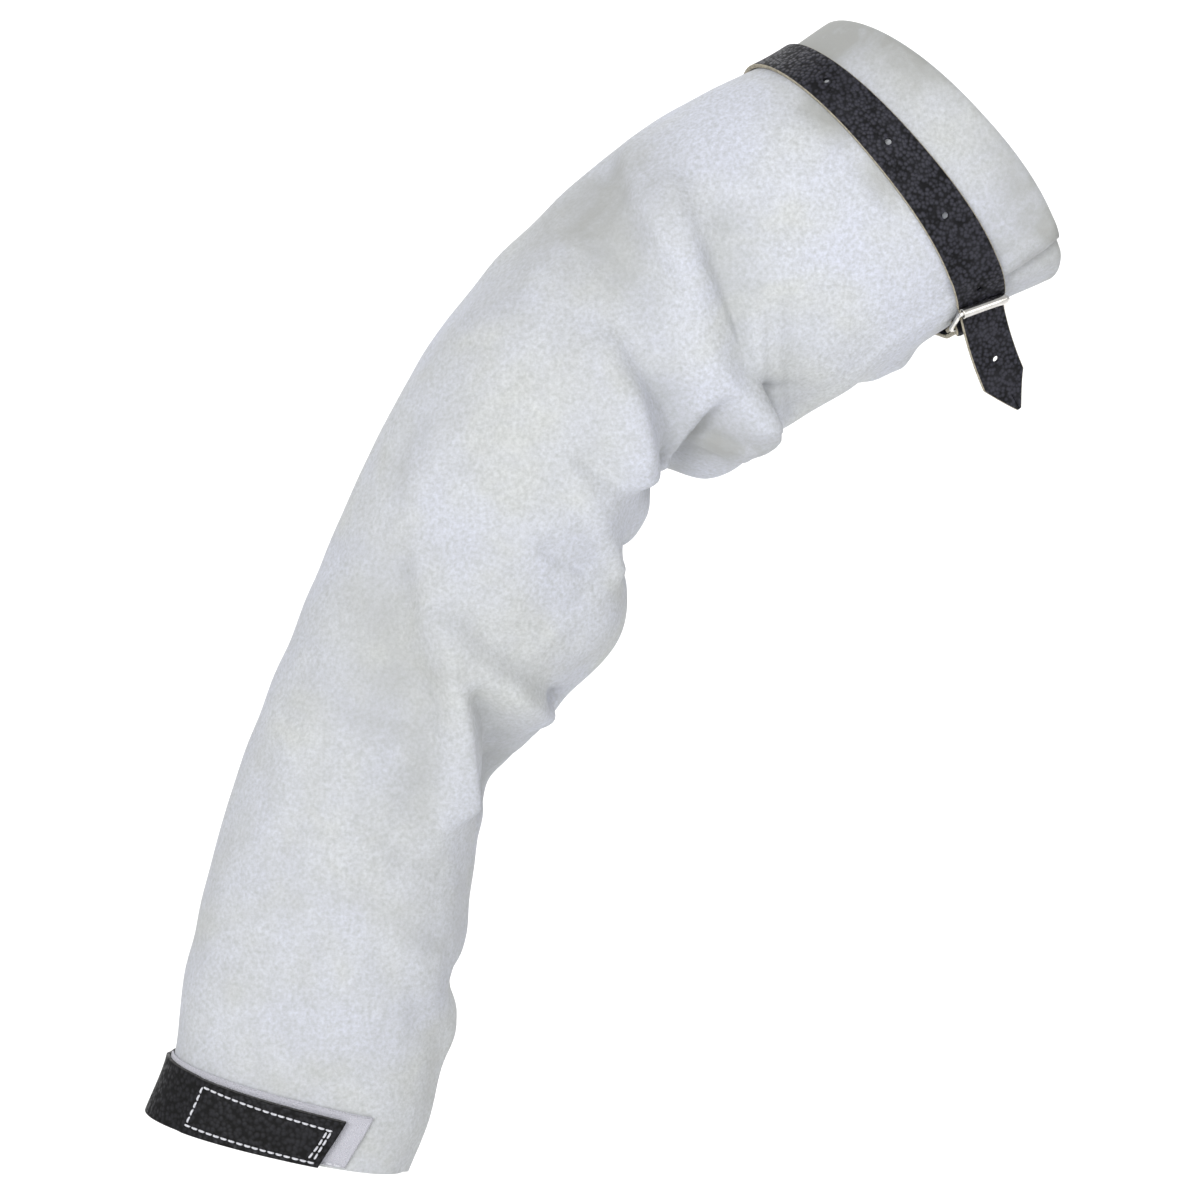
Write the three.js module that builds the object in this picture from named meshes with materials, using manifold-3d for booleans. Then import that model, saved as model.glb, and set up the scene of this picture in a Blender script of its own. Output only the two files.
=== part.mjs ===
// Welding sleeve for one arm: a bent tube of split leather with folds in the crook, a strap with
// a roller buckle round the upper arm, and a hook-and-loop tab at the wrist.
// Millimetres, +Z up. The origin is the centre of the strap's ring, X runs from the wrist to the
// shoulder and Y from the sleeve's front to its back. It keeps the shape of the arm it is worn on.

import * as THREE from 'three';
import { mergeVertices } from 'three/addons/utils/BufferGeometryUtils.js';
import Module from 'manifold-3d';

const wasm = await Module();
wasm.setup();

// Driving dimensions of the sleeve
const LENGTH = 558;            // centreline, from the wrist's edge to the rim
const WIDTH = 150;             // at the strap, from the outer side to the crook side
const DEPTH = 112;             // at the strap, from the front to the back
const WALL = 1.5;              // split leather
const RIM_REACH = 15;          // how much further the rim reaches at its front
const LAP_WIDTH = 10;          // overlap of the front panel over the back panel
const LAP_RUN = 8;             // length over which the overlap levels out
const GAP = 0.3;               // clearance between pieces that lie on each other

// Driving dimensions of the strap and its buckle
const STRAP_WIDTH = 21;
const STRAP_THICK = 2.0;
const TAIL_LENGTH = 54;        // from the roller to the strap's point
const POINT_LENGTH = 15.5;
const POINT_WIDTH = 2.4;
const HOLE_RADIUS = 1.5;
const HOLE_PITCH = 40;
const HOLE_FROM_POINT = 27;
const HOLE_COUNT = 5;
const STRAP_EASE = 0.4;        // how much longer the roller is than the strap is wide
const ROLLER_LENGTH = STRAP_WIDTH + STRAP_EASE;
const ROLLER_RADIUS = 2.4;
const FRAME_SPAN = 18;         // from the roller's axis to the heel bar's axis
const FRAME_BAR = 2.0;         // thickness of the square frame bars
const HEEL_EASE = 0.9;         // how much higher the heel bar rests, over the flare to the rim
const FOLD_BACK = 14;          // length of the strap's end that is folded back under itself
const PRONG_RADIUS = 1.0;
const PRONG_LENGTH = 17;
const PRONG_SLOT = 4.4;

// Driving dimensions of the wrist tab and its patches
const TAB_ROOT_WIDTH = 29.5;
const TAB_END_WIDTH = 23;
const TAB_THICK = 1.8;
const PATCH_THICK = 1.0;
const PATCH_SHOW_START = 1.4;  // how far the loop patch shows past the tab's upper edge
const PATCH_SHOW_END = 3.4;
const PATCH_INSET = 1.2;       // from the wrist's edge to the patches
const HOOK_INSET = 2.2;        // from the tab's edges to the hook patch

// Places, as shares of the sleeve's length and angles round it in degrees:
// 0 faces the front, 90 the crook side, 180 the back, -90 the outer side
const STRAP_ALONG = 0.937;
const STRAP_BOW = 0.019;       // how much further along the strap lies at the front
const ORIGIN_ALONG = 0.94;
const ROLLER_ANGLE = 66;
const STRAP_JOIN_ANGLE = -120;
const BUCKLE_TURN = 13;        // the buckle's turn on the sleeve
const TAIL_BEND = 50;          // how far the tail bends out from the sleeve at the roller
const TAIL_SWING = 18;         // how far the tail swings towards the rim, by its point
const TAB_ROOT_ANGLE = -150;
const TAB_END_ANGLE = 24;
const END_SLANT = 6;           // how much sooner the tab and its patches end at their lower edge
const SLANT_RUN = 25;
const HOOK_START_ANGLE = -38;
const LOOP_START_ANGLE = -84;
const LOOP_END_ANGLE = 37;

// Sections: along is a share of LENGTH, heading is the centreline's slope and skew the section's
// extra turn in degrees, outer and inner are half-sizes as shares of WIDTH, depth is the half-size
// from front to back as a share of DEPTH
const SECTION_COLUMNS = ['along', 'heading', 'skew', 'outer', 'inner', 'depth'];
const SECTIONS = [
  [0.00, 75.5, 1.5, 0.392, 0.377, 0.304],
  [0.045, 75.5, 0.7, 0.370, 0.398, 0.321],
  [0.10, 75.5, 0.0, 0.396, 0.387, 0.339],
  [0.20, 74.0, 0.0, 0.410, 0.363, 0.366],
  [0.29, 70.0, 0.0, 0.413, 0.313, 0.393],
  [0.38, 66.5, 0.0, 0.417, 0.360, 0.429],
  [0.48, 64.5, 0.0, 0.427, 0.407, 0.464],
  [0.59, 57.5, 1.0, 0.447, 0.363, 0.491],
  [0.69, 43.5, 3.0, 0.460, 0.427, 0.509],
  [0.79, 34.0, 5.0, 0.497, 0.470, 0.518],
  [0.88, 30.0, 7.5, 0.497, 0.473, 0.509],
  [0.94, 30.0, 9.0, 0.484, 0.472, 0.500],
  [1.00, 31.0, 11.5, 0.500, 0.507, 0.491],
];

// Folds, ridges and hollows. Each runs from a to b: along is a share of LENGTH, angle is in
// degrees, and bow, width, height and lean are shares of WIDTH. A lean tips the crest towards
// the side that bow bends to, sharp is the profile's exponent, and steep makes that side of the
// profile narrower and the other wider.
const FOLD_COLUMNS = [
  'alongA', 'angleA', 'alongB', 'angleB', 'bow', 'widthA', 'widthB', 'heightA', 'heightB',
  'leanA', 'leanB', 'sharp', 'steep',
];
const FOLDS = {
  upperCrest: [0.796, -28, 0.735, 70, 0.036, 0.083, 0.060, 0.032, 0.056, -0.006, -0.040, 2.0, -0.40],
  upperCrease: [0.816, -8, 0.750, 52, 0.085, 0.093, 0.075, -0.040, -0.086, 0, 0, 1.8, 0.35],
  crestHollow: [0.776, -64, 0.746, -8, 0, 0.107, 0.093, -0.036, -0.032, 0, 0, 2.0, -0.60],
  twinCrest: [0.795, 13, 0.741, 58, 0, 0.040, 0.047, 0.020, 0.054, 0, -0.013, 1.8, -0.20],
  twinCrease: [0.818, 27, 0.772, 76, 0.020, 0.073, 0.060, -0.020, -0.030, 0, 0, 1.8, 0.50],
  tongue: [0.724, 34, 0.640, 51, 0, 0.040, 0.053, 0.007, 0.053, -0.007, -0.053, 2.0, -0.20],
  pocket: [0.720, 43, 0.644, 69, 0, 0.040, 0.103, -0.020, -0.118, 0, 0, 1.8, 0.20],
  pocketBack: [0.640, 70, 0.630, 130, 0, 0.080, 0.093, -0.073, -0.093, 0, 0, 2.0, 0],
  rolledBulge: [0.722, 62, 0.690, 108, 0, 0.073, 0.107, 0.030, 0.053, 0, 0, 2.0, 0],
  middleCrease: [0.694, 12, 0.640, 47, -0.057, 0.093, 0.087, -0.034, -0.080, 0, 0, 1.7, 0.40],
  middleCrest: [0.685, 0, 0.624, 46, -0.024, 0.060, 0.050, 0.028, 0.048, 0, -0.014, 2.0, -0.40],
  flankRidge: [0.650, -40, 0.628, 40, -0.010, 0.153, 0.107, 0.028, 0.028, 0, 0, 1.5, 0.60],
  elbowCrease: [0.606, 20, 0.604, 38, 0, 0.053, 0.047, -0.026, -0.010, 0, 0, 1.8, 0.30],
  elbowCrest: [0.596, 16, 0.540, 64, 0, 0.060, 0.053, 0.016, 0.036, 0, -0.010, 1.6, 0.30],
  elbowNotch: [0.552, 70, 0.560, 130, 0, 0.040, 0.080, -0.047, -0.053, 0, 0, 2.0, 0],
  bulgeRidge: [0.588, 36, 0.438, -4, 0.044, 0.120, 0.107, 0.036, 0.040, 0, 0, 1.6, 0.30],
  innerCrease: [0.527, 23, 0.526, 46, 0, 0.036, 0.030, -0.016, -0.010, 0, 0, 2.0, 0.30],
  bulge: [0.495, 76, 0.480, 120, 0, 0.147, 0.173, 0.060, 0.053, 0, 0, 2.0, 0],
  lowerCrest: [0.430, 2, 0.404, 74, 0.020, 0.067, 0.053, 0.027, 0.047, 0, 0, 2.0, -0.20],
  lowerPit: [0.457, 4, 0.428, 62, 0.026, 0.063, 0.053, -0.010, -0.016, 0, 0, 1.6, 0.40],
  lowerHollow: [0.396, 26, 0.334, 82, 0, 0.043, 0.113, -0.047, -0.120, 0, 0, 1.8, 0.25],
  lowerNotch: [0.322, 66, 0.335, 130, 0, 0.053, 0.080, -0.027, -0.020, 0, 0, 2.0, 0],
  hollowLip: [0.410, 8, 0.308, 50, 0, 0.053, 0.047, 0.020, 0.040, 0, -0.033, 2.0, -0.20],
  forearmHollow: [0.452, -22, 0.316, 24, 0, 0.120, 0.107, -0.040, -0.038, 0, 0, 2.0, -0.60],
  forearmBump: [0.120, 90, 0.130, 100, 0, 0.093, 0.093, 0.027, 0.027, 0, 0, 2.0, 0],
  forearmDip: [0.160, 90, 0.160, 96, 0, 0.067, 0.067, -0.033, -0.033, 0, 0, 2.0, 0],
  elbowHollow: [0.742, -26, 0.730, 6, 0, 0.080, 0.067, -0.013, -0.013, 0, 0, 2.0, 0],
  backRoll: [0.876, 103, 0.856, 104, 0, 0.060, 0.060, 0.045, 0.040, 0, 0, 2.0, 0],
  rimCrease: [0.964, 64, 1.020, 56, 0, 0.027, 0.027, -0.020, -0.026, 0, 0, 1.8, 0],
};

// The lapped seam along the sleeve's underside: share of LENGTH, angle in degrees
const SEAM = [
  [0.00, 96], [0.30, 98], [0.55, 92], [0.64, 72], [0.675, 66], [0.71, 79], [0.80, 90], [0.86, 74],
  [0.93, 70], [0.97, 63], [1.00, 56],
];

// Mesh fineness: spans of the sleeve's rows (from, to, count), columns round it, spline steps
const ROW_SPANS = [[0.00, 0.08, 4], [0.08, 0.30, 5], [0.30, 0.80, 42], [0.80, 0.90, 3], [0.90, 1.00, 8]];
const COLUMN_SPANS = [[0.00, 0.35, 18], [0.35, 0.80, 9], [0.80, 1.00, 6]];
const SPINE_STEPS = 440;
const SPINE_END = 1.1;

const degrees = THREE.MathUtils.degToRad;
const clamp = THREE.MathUtils.clamp;
const smoothstep = THREE.MathUtils.smoothstep;
const FRONT = new THREE.Vector3(0, -1, 0);

// The angle scale round the sleeve, in millimetres per radian
const ROUND = (WIDTH + DEPTH) / 4;

// A curve through the points x, y with Catmull-Rom slopes on uneven steps
function smoothCurve(x, y) {
  const last = x.length - 1;
  const rise = x.slice(1).map((v, i) => (y[i + 1] - y[i]) / (v - x[i]));
  const slope = x.map((v, i) => {
    if (i === 0) return rise[0];
    if (i === last) return rise[last - 1];
    const before = v - x[i - 1];
    const after = x[i + 1] - v;
    return (after * rise[i - 1] + before * rise[i]) / (after + before);
  });
  return (q) => {
    let i = 0;
    while (i < last - 1 && q >= x[i + 1]) i += 1;
    const h = x[i + 1] - x[i];
    const t = (q - x[i]) / h;
    return (2 * t ** 3 - 3 * t ** 2 + 1) * y[i] + (t ** 3 - 2 * t ** 2 + t) * h * slope[i]
      + (3 * t ** 2 - 2 * t ** 3) * y[i + 1] + (t ** 3 - t ** 2) * h * slope[i + 1];
  };
}

const alongs = SECTIONS.map((row) => row[0]);
const section = Object.fromEntries(SECTION_COLUMNS.slice(1).map((name, i) => [
  name, smoothCurve(alongs, SECTIONS.map((row) => row[i + 1])),
]));
const seamAngle = smoothCurve(SEAM.map((row) => row[0]), SEAM.map((row) => row[1]));

// The centreline: the heading is summed up along the length, and the strap's place is the origin
function makeSpine() {
  const step = SPINE_END / SPINE_STEPS;
  const points = [new THREE.Vector3()];
  const slopes = [];
  for (let i = 0; i <= SPINE_STEPS; i += 1) slopes.push(degrees(section.heading(Math.min(i * step, 1))));
  for (let i = 1; i <= SPINE_STEPS; i += 1) {
    const dx = (Math.cos(slopes[i]) + Math.cos(slopes[i - 1])) / 2;
    const dz = (Math.sin(slopes[i]) + Math.sin(slopes[i - 1])) / 2;
    points.push(points[i - 1].clone().add(new THREE.Vector3(dx, 0, dz).multiplyScalar(step * LENGTH)));
  }
  const raw = (along) => {
    const place = along / step;
    const i = clamp(Math.floor(place), 0, SPINE_STEPS - 1);
    return points[i].clone().lerp(points[i + 1], place - i);
  };
  const origin = raw(ORIGIN_ALONG);
  return {
    at: (along) => raw(along).sub(origin),
    slope: (along) => {
      const place = clamp(along / step, 0, SPINE_STEPS);
      const i = Math.min(Math.floor(place), SPINE_STEPS - 1);
      return slopes[i] + (slopes[i + 1] - slopes[i]) * (place - i);
    },
  };
}
const spine = makeSpine();

// The unfolded tube at a share along and an angle round, in radians
const SECTION_POWER = 0.9;
function tubePoint(along, angle) {
  const held = clamp(along, 0, 1);
  const turn = spine.slope(along) + degrees(section.skew(held));
  const round = (v) => Math.sign(v) * Math.abs(v) ** SECTION_POWER;
  const side = (Math.sin(angle) > 0 ? section.inner(held) : section.outer(held)) * WIDTH;
  const across = side * round(Math.sin(angle));
  const forward = section.depth(held) * DEPTH * round(Math.cos(angle));
  return spine.at(along)
    .add(new THREE.Vector3(Math.sin(turn), 0, -Math.cos(turn)).multiplyScalar(across))
    .addScaledVector(FRONT, forward);
}

const STEP = 1e-3;
function tubeFrame(along, angle) {
  const point = tubePoint(along, angle);
  const down = tubePoint(along + STEP, angle).sub(tubePoint(along - STEP, angle)).normalize();
  const around = tubePoint(along, angle + STEP * 2).sub(tubePoint(along, angle - STEP * 2)).normalize();
  const normal = new THREE.Vector3().crossVectors(around, down).normalize();
  if (normal.dot(point.clone().sub(spine.at(along))) < 0) normal.negate();
  return { point, down, around, normal };
}

// Sum of all folds at a place: height along the normal, leans along and round
function foldAt(along, angle) {
  const total = { height: 0, down: 0, around: 0 };
  const x0 = along * LENGTH;
  for (const row of Object.values(FOLDS)) {
    const f = Object.fromEntries(FOLD_COLUMNS.map((name, i) => [name, row[i]]));
    const middle = degrees((f.angleA + f.angleB) / 2);
    const turned = THREE.MathUtils.euclideanModulo(angle - middle + Math.PI, Math.PI * 2) - Math.PI + middle;
    const start = new THREE.Vector2(f.alongA * LENGTH, degrees(f.angleA) * ROUND);
    const run = new THREE.Vector2(f.alongB * LENGTH, degrees(f.angleB) * ROUND).sub(start);
    const length = run.length();
    run.divideScalar(length);
    const side = new THREE.Vector2(-run.y, run.x);
    const here = new THREE.Vector2(x0, turned * ROUND).sub(start);
    const share = here.dot(run) / length;
    const q = clamp(share, 0, 1);
    const off = here.dot(side) - f.bow * WIDTH * 4 * q * (1 - q);
    const width = THREE.MathUtils.lerp(f.widthA, f.widthB, q) * WIDTH;
    const past = Math.max(-share, share - 1, 0) * length / width;
    const wide = width * (1 - f.steep * Math.tanh(2 * off / width));
    const profile = Math.exp(-(Math.abs(off / wide) ** f.sharp)) * Math.exp(-past * past);
    const lean = THREE.MathUtils.lerp(f.leanA, f.leanB, q) * WIDTH * profile;
    total.height += THREE.MathUtils.lerp(f.heightA, f.heightB, q) * WIDTH * profile;
    total.down += lean * side.x;
    total.around += lean * side.y;
  }
  return total;
}

function foldedPoint(along, angle) {
  const { point, down, around, normal } = tubeFrame(along, angle);
  const fold = foldAt(along, angle);
  return point.addScaledVector(normal, fold.height)
    .addScaledVector(down, fold.down)
    .addScaledVector(around, fold.around);
}

// The normal is taken over a reach of a few wall thicknesses, which keeps both faces apart in a crease
const NORMAL_REACH = 2.5 * WALL;
function foldedFrame(along, angle) {
  const point = foldedPoint(along, angle);
  const a = NORMAL_REACH / LENGTH;
  const b = NORMAL_REACH / ROUND;
  const down = foldedPoint(along + a, angle).sub(foldedPoint(along - a, angle));
  const around = foldedPoint(along, angle + b).sub(foldedPoint(along, angle - b));
  return { point, normal: new THREE.Vector3().crossVectors(down, around).normalize().negate() };
}

// How much of the overlap's thickness there is at a distance from the seam towards the front
function lapShare(distance) {
  return 1 - smoothstep(distance, LAP_WIDTH, LAP_WIDTH + LAP_RUN);
}

// How far a piece that crosses the seam rides up over the overlap, on either side of it
function rideOver(along, angle) {
  const distance = (degrees(seamAngle(clamp(along, 0, 1))) - angle) * ROUND;
  const front = 1 - smoothstep(distance, LAP_WIDTH + LAP_RUN, LAP_WIDTH + 2 * LAP_RUN);
  const back = smoothstep(distance, -2 * LAP_RUN, -LAP_RUN / 2);
  return WALL * front * back;
}

// The rows near the rim are stretched so that it reaches further at its front
const EDGE_ZONE = 0.1;
function edgeShare(along, angle) {
  const front = Math.max(Math.cos(angle), 0) ** 1.2 / LENGTH;
  const toRim = clamp((along - 1 + EDGE_ZONE) / EDGE_ZONE, 0, 1) ** 1.5;
  return along + RIM_REACH * front * toRim;
}

// A closed slab between two grids of points with the same rows and columns.
// Round slabs join their last column to the first; others get side walls.
function slab(outer, inner, round) {
  const rows = outer.length;
  const columns = outer[0].length;
  const positions = [...outer.flat(), ...inner.flat()].flatMap((p) => [p.x, p.y, p.z]);
  const index = [];
  const at = (layer, i, j) => layer * rows * columns + i * columns + (j % columns);
  const quad = (a, b, c, d) => index.push(a, b, c, a, c, d);
  const lastColumn = round ? columns : columns - 1;
  for (let i = 0; i < rows - 1; i += 1) {
    for (let j = 0; j < lastColumn; j += 1) {
      quad(at(0, i, j), at(0, i, j + 1), at(0, i + 1, j + 1), at(0, i + 1, j));
      quad(at(1, i, j), at(1, i + 1, j), at(1, i + 1, j + 1), at(1, i, j + 1));
    }
  }
  for (let j = 0; j < lastColumn; j += 1) {
    quad(at(0, 0, j), at(1, 0, j), at(1, 0, j + 1), at(0, 0, j + 1));
    quad(at(0, rows - 1, j), at(0, rows - 1, j + 1), at(1, rows - 1, j + 1), at(1, rows - 1, j));
  }
  if (!round) {
    for (let i = 0; i < rows - 1; i += 1) {
      quad(at(0, i, 0), at(0, i + 1, 0), at(1, i + 1, 0), at(1, i, 0));
      const j = columns - 1;
      quad(at(0, i, j), at(1, i, j), at(1, i + 1, j), at(0, i + 1, j));
    }
  }
  const geometry = new THREE.BufferGeometry();
  geometry.setAttribute('position', new THREE.Float32BufferAttribute(positions, 3));
  geometry.setIndex(index);
  return outward(geometry);
}

// Turns the faces round where the closed geometry's signed volume is negative
function outward(geometry) {
  const p = geometry.getAttribute('position');
  const index = geometry.getIndex();
  const corner = (i) => new THREE.Vector3().fromBufferAttribute(p, index.getX(i));
  let volume = 0;
  for (let i = 0; i < index.count; i += 3) volume += corner(i).dot(corner(i + 1).cross(corner(i + 2)));
  if (volume < 0) {
    for (let i = 0; i < index.count; i += 3) {
      const first = index.getX(i);
      index.setX(i, index.getX(i + 1));
      index.setX(i + 1, first);
    }
  }
  return geometry;
}

function toSolid(geometry) {
  const bare = geometry.clone();
  bare.deleteAttribute('normal');
  bare.deleteAttribute('uv');
  const merged = mergeVertices(bare, 1e-4);
  const mesh = new wasm.Mesh({
    numProp: 3,
    vertProperties: new Float32Array(merged.getAttribute('position').array),
    triVerts: new Uint32Array(merged.getIndex().array),
  });
  return new wasm.Manifold(mesh);
}

function fromSolid(solid) {
  const mesh = solid.getMesh();
  const geometry = new THREE.BufferGeometry();
  geometry.setAttribute('position', new THREE.Float32BufferAttribute(mesh.vertProperties, 3));
  geometry.setIndex(Array.from(mesh.triVerts));
  return geometry;
}

function cutAway(geometry, cutters) {
  return fromSolid(cutters.reduce((solid, cutter) => solid.subtract(toSolid(cutter)), toSolid(geometry)));
}

// The shares at the ends of each span's equal steps
function spread(spans) {
  const shares = spans.flatMap(([from, to, count]) => Array.from(
    { length: count }, (_, i) => from + (to - from) * i / count,
  ));
  return [...shares, spans.at(-1)[1]];
}

function sleeveGeometry() {
  const turn = Math.PI * 2;
  const step = WALL / 2 / ROUND;
  const outer = [];
  const inner = [];
  for (const along of spread(ROW_SPANS)) {
    const seam = degrees(seamAngle(along));
    const rings = spread(COLUMN_SPANS).map((share) => {
      const away = share * (turn - step);
      const angle = seam - away;
      const { point, normal } = foldedFrame(edgeShare(along, angle), angle);
      const lap = WALL * lapShare(away * ROUND);
      return [
        point.clone().addScaledVector(normal, WALL / 2 + lap),
        point.clone().addScaledVector(normal, -WALL / 2),
      ];
    });
    outer.push(rings.map((pair) => pair[0]));
    inner.push(rings.map((pair) => pair[1]));
  }
  return slab(outer, inner, true);
}

// A point on the unfolded tube at a height over the leather's middle, with its frame
function lifted(along, angle, height) {
  const frame = tubeFrame(along, angle);
  return { ...frame, point: frame.point.clone().addScaledVector(frame.normal, height) };
}

const strapAlong = (angle) => STRAP_ALONG + STRAP_BOW * Math.cos(angle);
const STRAP_SEAT = WALL / 2 + GAP + STRAP_THICK / 2;

// One cross line of a strap that lies round the tube: its points at each share of its width,
// turned on the sleeve by turn, and at a height over the leather's middle
const ACROSS = [-1, 0, 1];
function strapLine(angle, height, turn, half = STRAP_WIDTH / 2) {
  const along = strapAlong(angle);
  const centre = tubeFrame(along, angle);
  const speed = tubePoint(along, angle + STEP).distanceTo(tubePoint(along, angle - STEP)) / (2 * STEP);
  return ACROSS.map((share) => {
    const a = along + share * half * Math.cos(turn) / LENGTH;
    const b = angle + share * half * Math.sin(turn) / speed;
    return { point: lifted(a, b, height).point, normal: centre.normal };
  });
}

// The buckle's own frame: across along the roller, ahead to the heel bar, up off the sleeve
const LOOP_RADIUS = FRAME_BAR / 2 * Math.SQRT2 + GAP + STRAP_THICK / 2;
const PASS_RADIUS = ROLLER_RADIUS + GAP + STRAP_THICK / 2;
function makeBuckleFrame() {
  const angle = degrees(ROLLER_ANGLE);
  const turn = degrees(BUCKLE_TURN);
  const seat = STRAP_SEAT + rideOver(strapAlong(angle), angle);
  const line = strapLine(angle, seat, turn);
  const { normal } = tubeFrame(strapAlong(angle), angle);
  const across = line[2].point.clone().sub(line[0].point).normalize();
  const roller = line[1].point.clone().addScaledVector(normal, PASS_RADIUS);
  const heelHeight = STRAP_SEAT + LOOP_RADIUS + HEEL_EASE;
  let near = angle;
  let far = angle + Math.PI / 3;
  for (let i = 0; i < 40; i += 1) {
    const middle = (near + far) / 2;
    const distance = lifted(strapAlong(middle), middle, heelHeight).point.distanceTo(roller);
    if (distance < FRAME_SPAN) near = middle; else far = middle;
  }
  const heelFrame = lifted(strapAlong(near), near, heelHeight);
  const ahead = heelFrame.point.clone().sub(roller);
  ahead.addScaledVector(across, -ahead.dot(across)).normalize();
  const up = new THREE.Vector3().crossVectors(across, ahead).normalize();
  if (up.dot(normal) < 0) up.negate();
  const heel = roller.clone().addScaledVector(ahead, FRAME_SPAN);
  return { across, ahead, up, roller, heel, rollerNormal: normal, heelAngle: near };
}
const buckle = makeBuckleFrame();

// Places a geometry whose own x, y, z are the buckle's across, ahead and up
function placeInBuckle(geometry, origin) {
  const matrix = new THREE.Matrix4().makeBasis(buckle.across, buckle.ahead, buckle.up);
  if (matrix.determinant() < 0) matrix.makeBasis(buckle.across.clone().negate(), buckle.ahead, buckle.up);
  return geometry.applyMatrix4(matrix.setPosition(origin));
}

// Outer and inner lines of a strap station: points moved by half the thickness
function stationLines(station) {
  const move = (side) => station.map(({ point, normal }) => point.clone()
    .addScaledVector(normal, side * STRAP_THICK / 2));
  return { outer: move(1), inner: move(-1) };
}

function flatStation(centre, normal, half, across = buckle.across) {
  return ACROSS.map((share) => ({ point: centre.clone().addScaledVector(across, share * half), normal }));
}

const BAND_STEP = degrees(6);
function bandAngles(from, to) {
  const count = Math.ceil(Math.abs(to - from) / BAND_STEP);
  return Array.from({ length: count + 1 }, (_, i) => from + (to - from) * i / count);
}

// The tail: bends out round the roller's inner side, then swings sideways towards the rim
function tailAt(distance) {
  const bend = degrees(TAIL_BEND);
  const { up, ahead, roller } = buckle;
  const bendLength = bend * PASS_RADIUS;
  const swept = Math.min(distance / bendLength, 1) * bend;
  const radial = ahead.clone().multiplyScalar(Math.sin(swept)).addScaledVector(up, -Math.cos(swept));
  const run = ahead.clone().multiplyScalar(Math.cos(swept)).addScaledVector(up, Math.sin(swept));
  const past = Math.max(distance - bendLength, 0);
  const swing = degrees(TAIL_SWING) * past / TAIL_LENGTH;
  const point = roller.clone().addScaledVector(radial, PASS_RADIUS).addScaledVector(run, past)
    .addScaledVector(buckle.across, past * swing / 2);
  const across = buckle.across.clone().multiplyScalar(Math.cos(swing)).addScaledVector(run, -Math.sin(swing));
  return { point, normal: radial.negate(), across };
}

const BEND_LENGTH = degrees(TAIL_BEND) * PASS_RADIUS;
const TAIL_PATH = BEND_LENGTH + TAIL_LENGTH;

function tailHalfWidth(distance) {
  const share = clamp((TAIL_PATH - distance) / POINT_LENGTH, 0, 1);
  return THREE.MathUtils.lerp(POINT_WIDTH, STRAP_WIDTH, share) / 2;
}

function buckleTurn(angle, from, to) {
  return degrees(BUCKLE_TURN) * smoothstep(angle, degrees(from), degrees(to));
}

const TURN_RUN = 30;
function upperStrapStations() {
  const end = degrees(ROLLER_ANGLE);
  const stations = bandAngles(degrees(STRAP_JOIN_ANGLE), end).map((angle) => strapLine(
    angle, STRAP_SEAT + rideOver(strapAlong(angle), angle),
    buckleTurn(angle, ROLLER_ANGLE - TURN_RUN, ROLLER_ANGLE),
  ));
  const tail = [0.34, 0.67, 1].map((share) => share * BEND_LENGTH);
  const straight = TAIL_LENGTH - POINT_LENGTH;
  tail.push(BEND_LENGTH + straight * 0.33, BEND_LENGTH + straight * 0.67, BEND_LENGTH + straight, TAIL_PATH);
  for (const distance of tail) {
    const { point, normal, across } = tailAt(distance);
    stations.push(flatStation(point, normal, tailHalfWidth(distance), across));
  }
  return stations;
}

// Middle points of the strap by distance from its point, for the holes
function strapMiddle() {
  const marks = [];
  for (let distance = TAIL_PATH; distance > 0; distance -= 1) {
    const { point, normal } = tailAt(distance);
    marks.push({ point, normal });
  }
  for (const angle of bandAngles(degrees(ROLLER_ANGLE), degrees(STRAP_JOIN_ANGLE))) {
    const line = strapLine(angle, STRAP_SEAT + rideOver(strapAlong(angle), angle), 0);
    marks.push({ point: line[1].point, normal: line[1].normal });
  }
  let distance = 0;
  return marks.map((mark, i) => {
    if (i > 0) distance += mark.point.distanceTo(marks[i - 1].point);
    return { ...mark, distance };
  });
}

function holeCutters() {
  const marks = strapMiddle();
  return Array.from({ length: HOLE_COUNT }, (_, i) => {
    const wanted = HOLE_FROM_POINT + i * HOLE_PITCH;
    const next = marks.findIndex((mark) => mark.distance > wanted);
    const [a, b] = [marks[next - 1], marks[next]];
    const share = (wanted - a.distance) / (b.distance - a.distance);
    const centre = a.point.clone().lerp(b.point, share);
    const normal = a.normal.clone().lerp(b.normal, share).normalize();
    const cutter = new THREE.CylinderGeometry(HOLE_RADIUS, HOLE_RADIUS, STRAP_THICK * 3, 16);
    const turn = new THREE.Quaternion().setFromUnitVectors(new THREE.Vector3(0, 1, 0), normal);
    return cutter.applyQuaternion(turn).translate(centre.x, centre.y, centre.z);
  });
}

function bandGeometry(stations) {
  const lines = stations.map(stationLines);
  return slab(lines.map((line) => line.outer), lines.map((line) => line.inner), false);
}

function upperStrapGeometry() {
  return cutAway(bandGeometry(upperStrapStations()), holeCutters());
}

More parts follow.
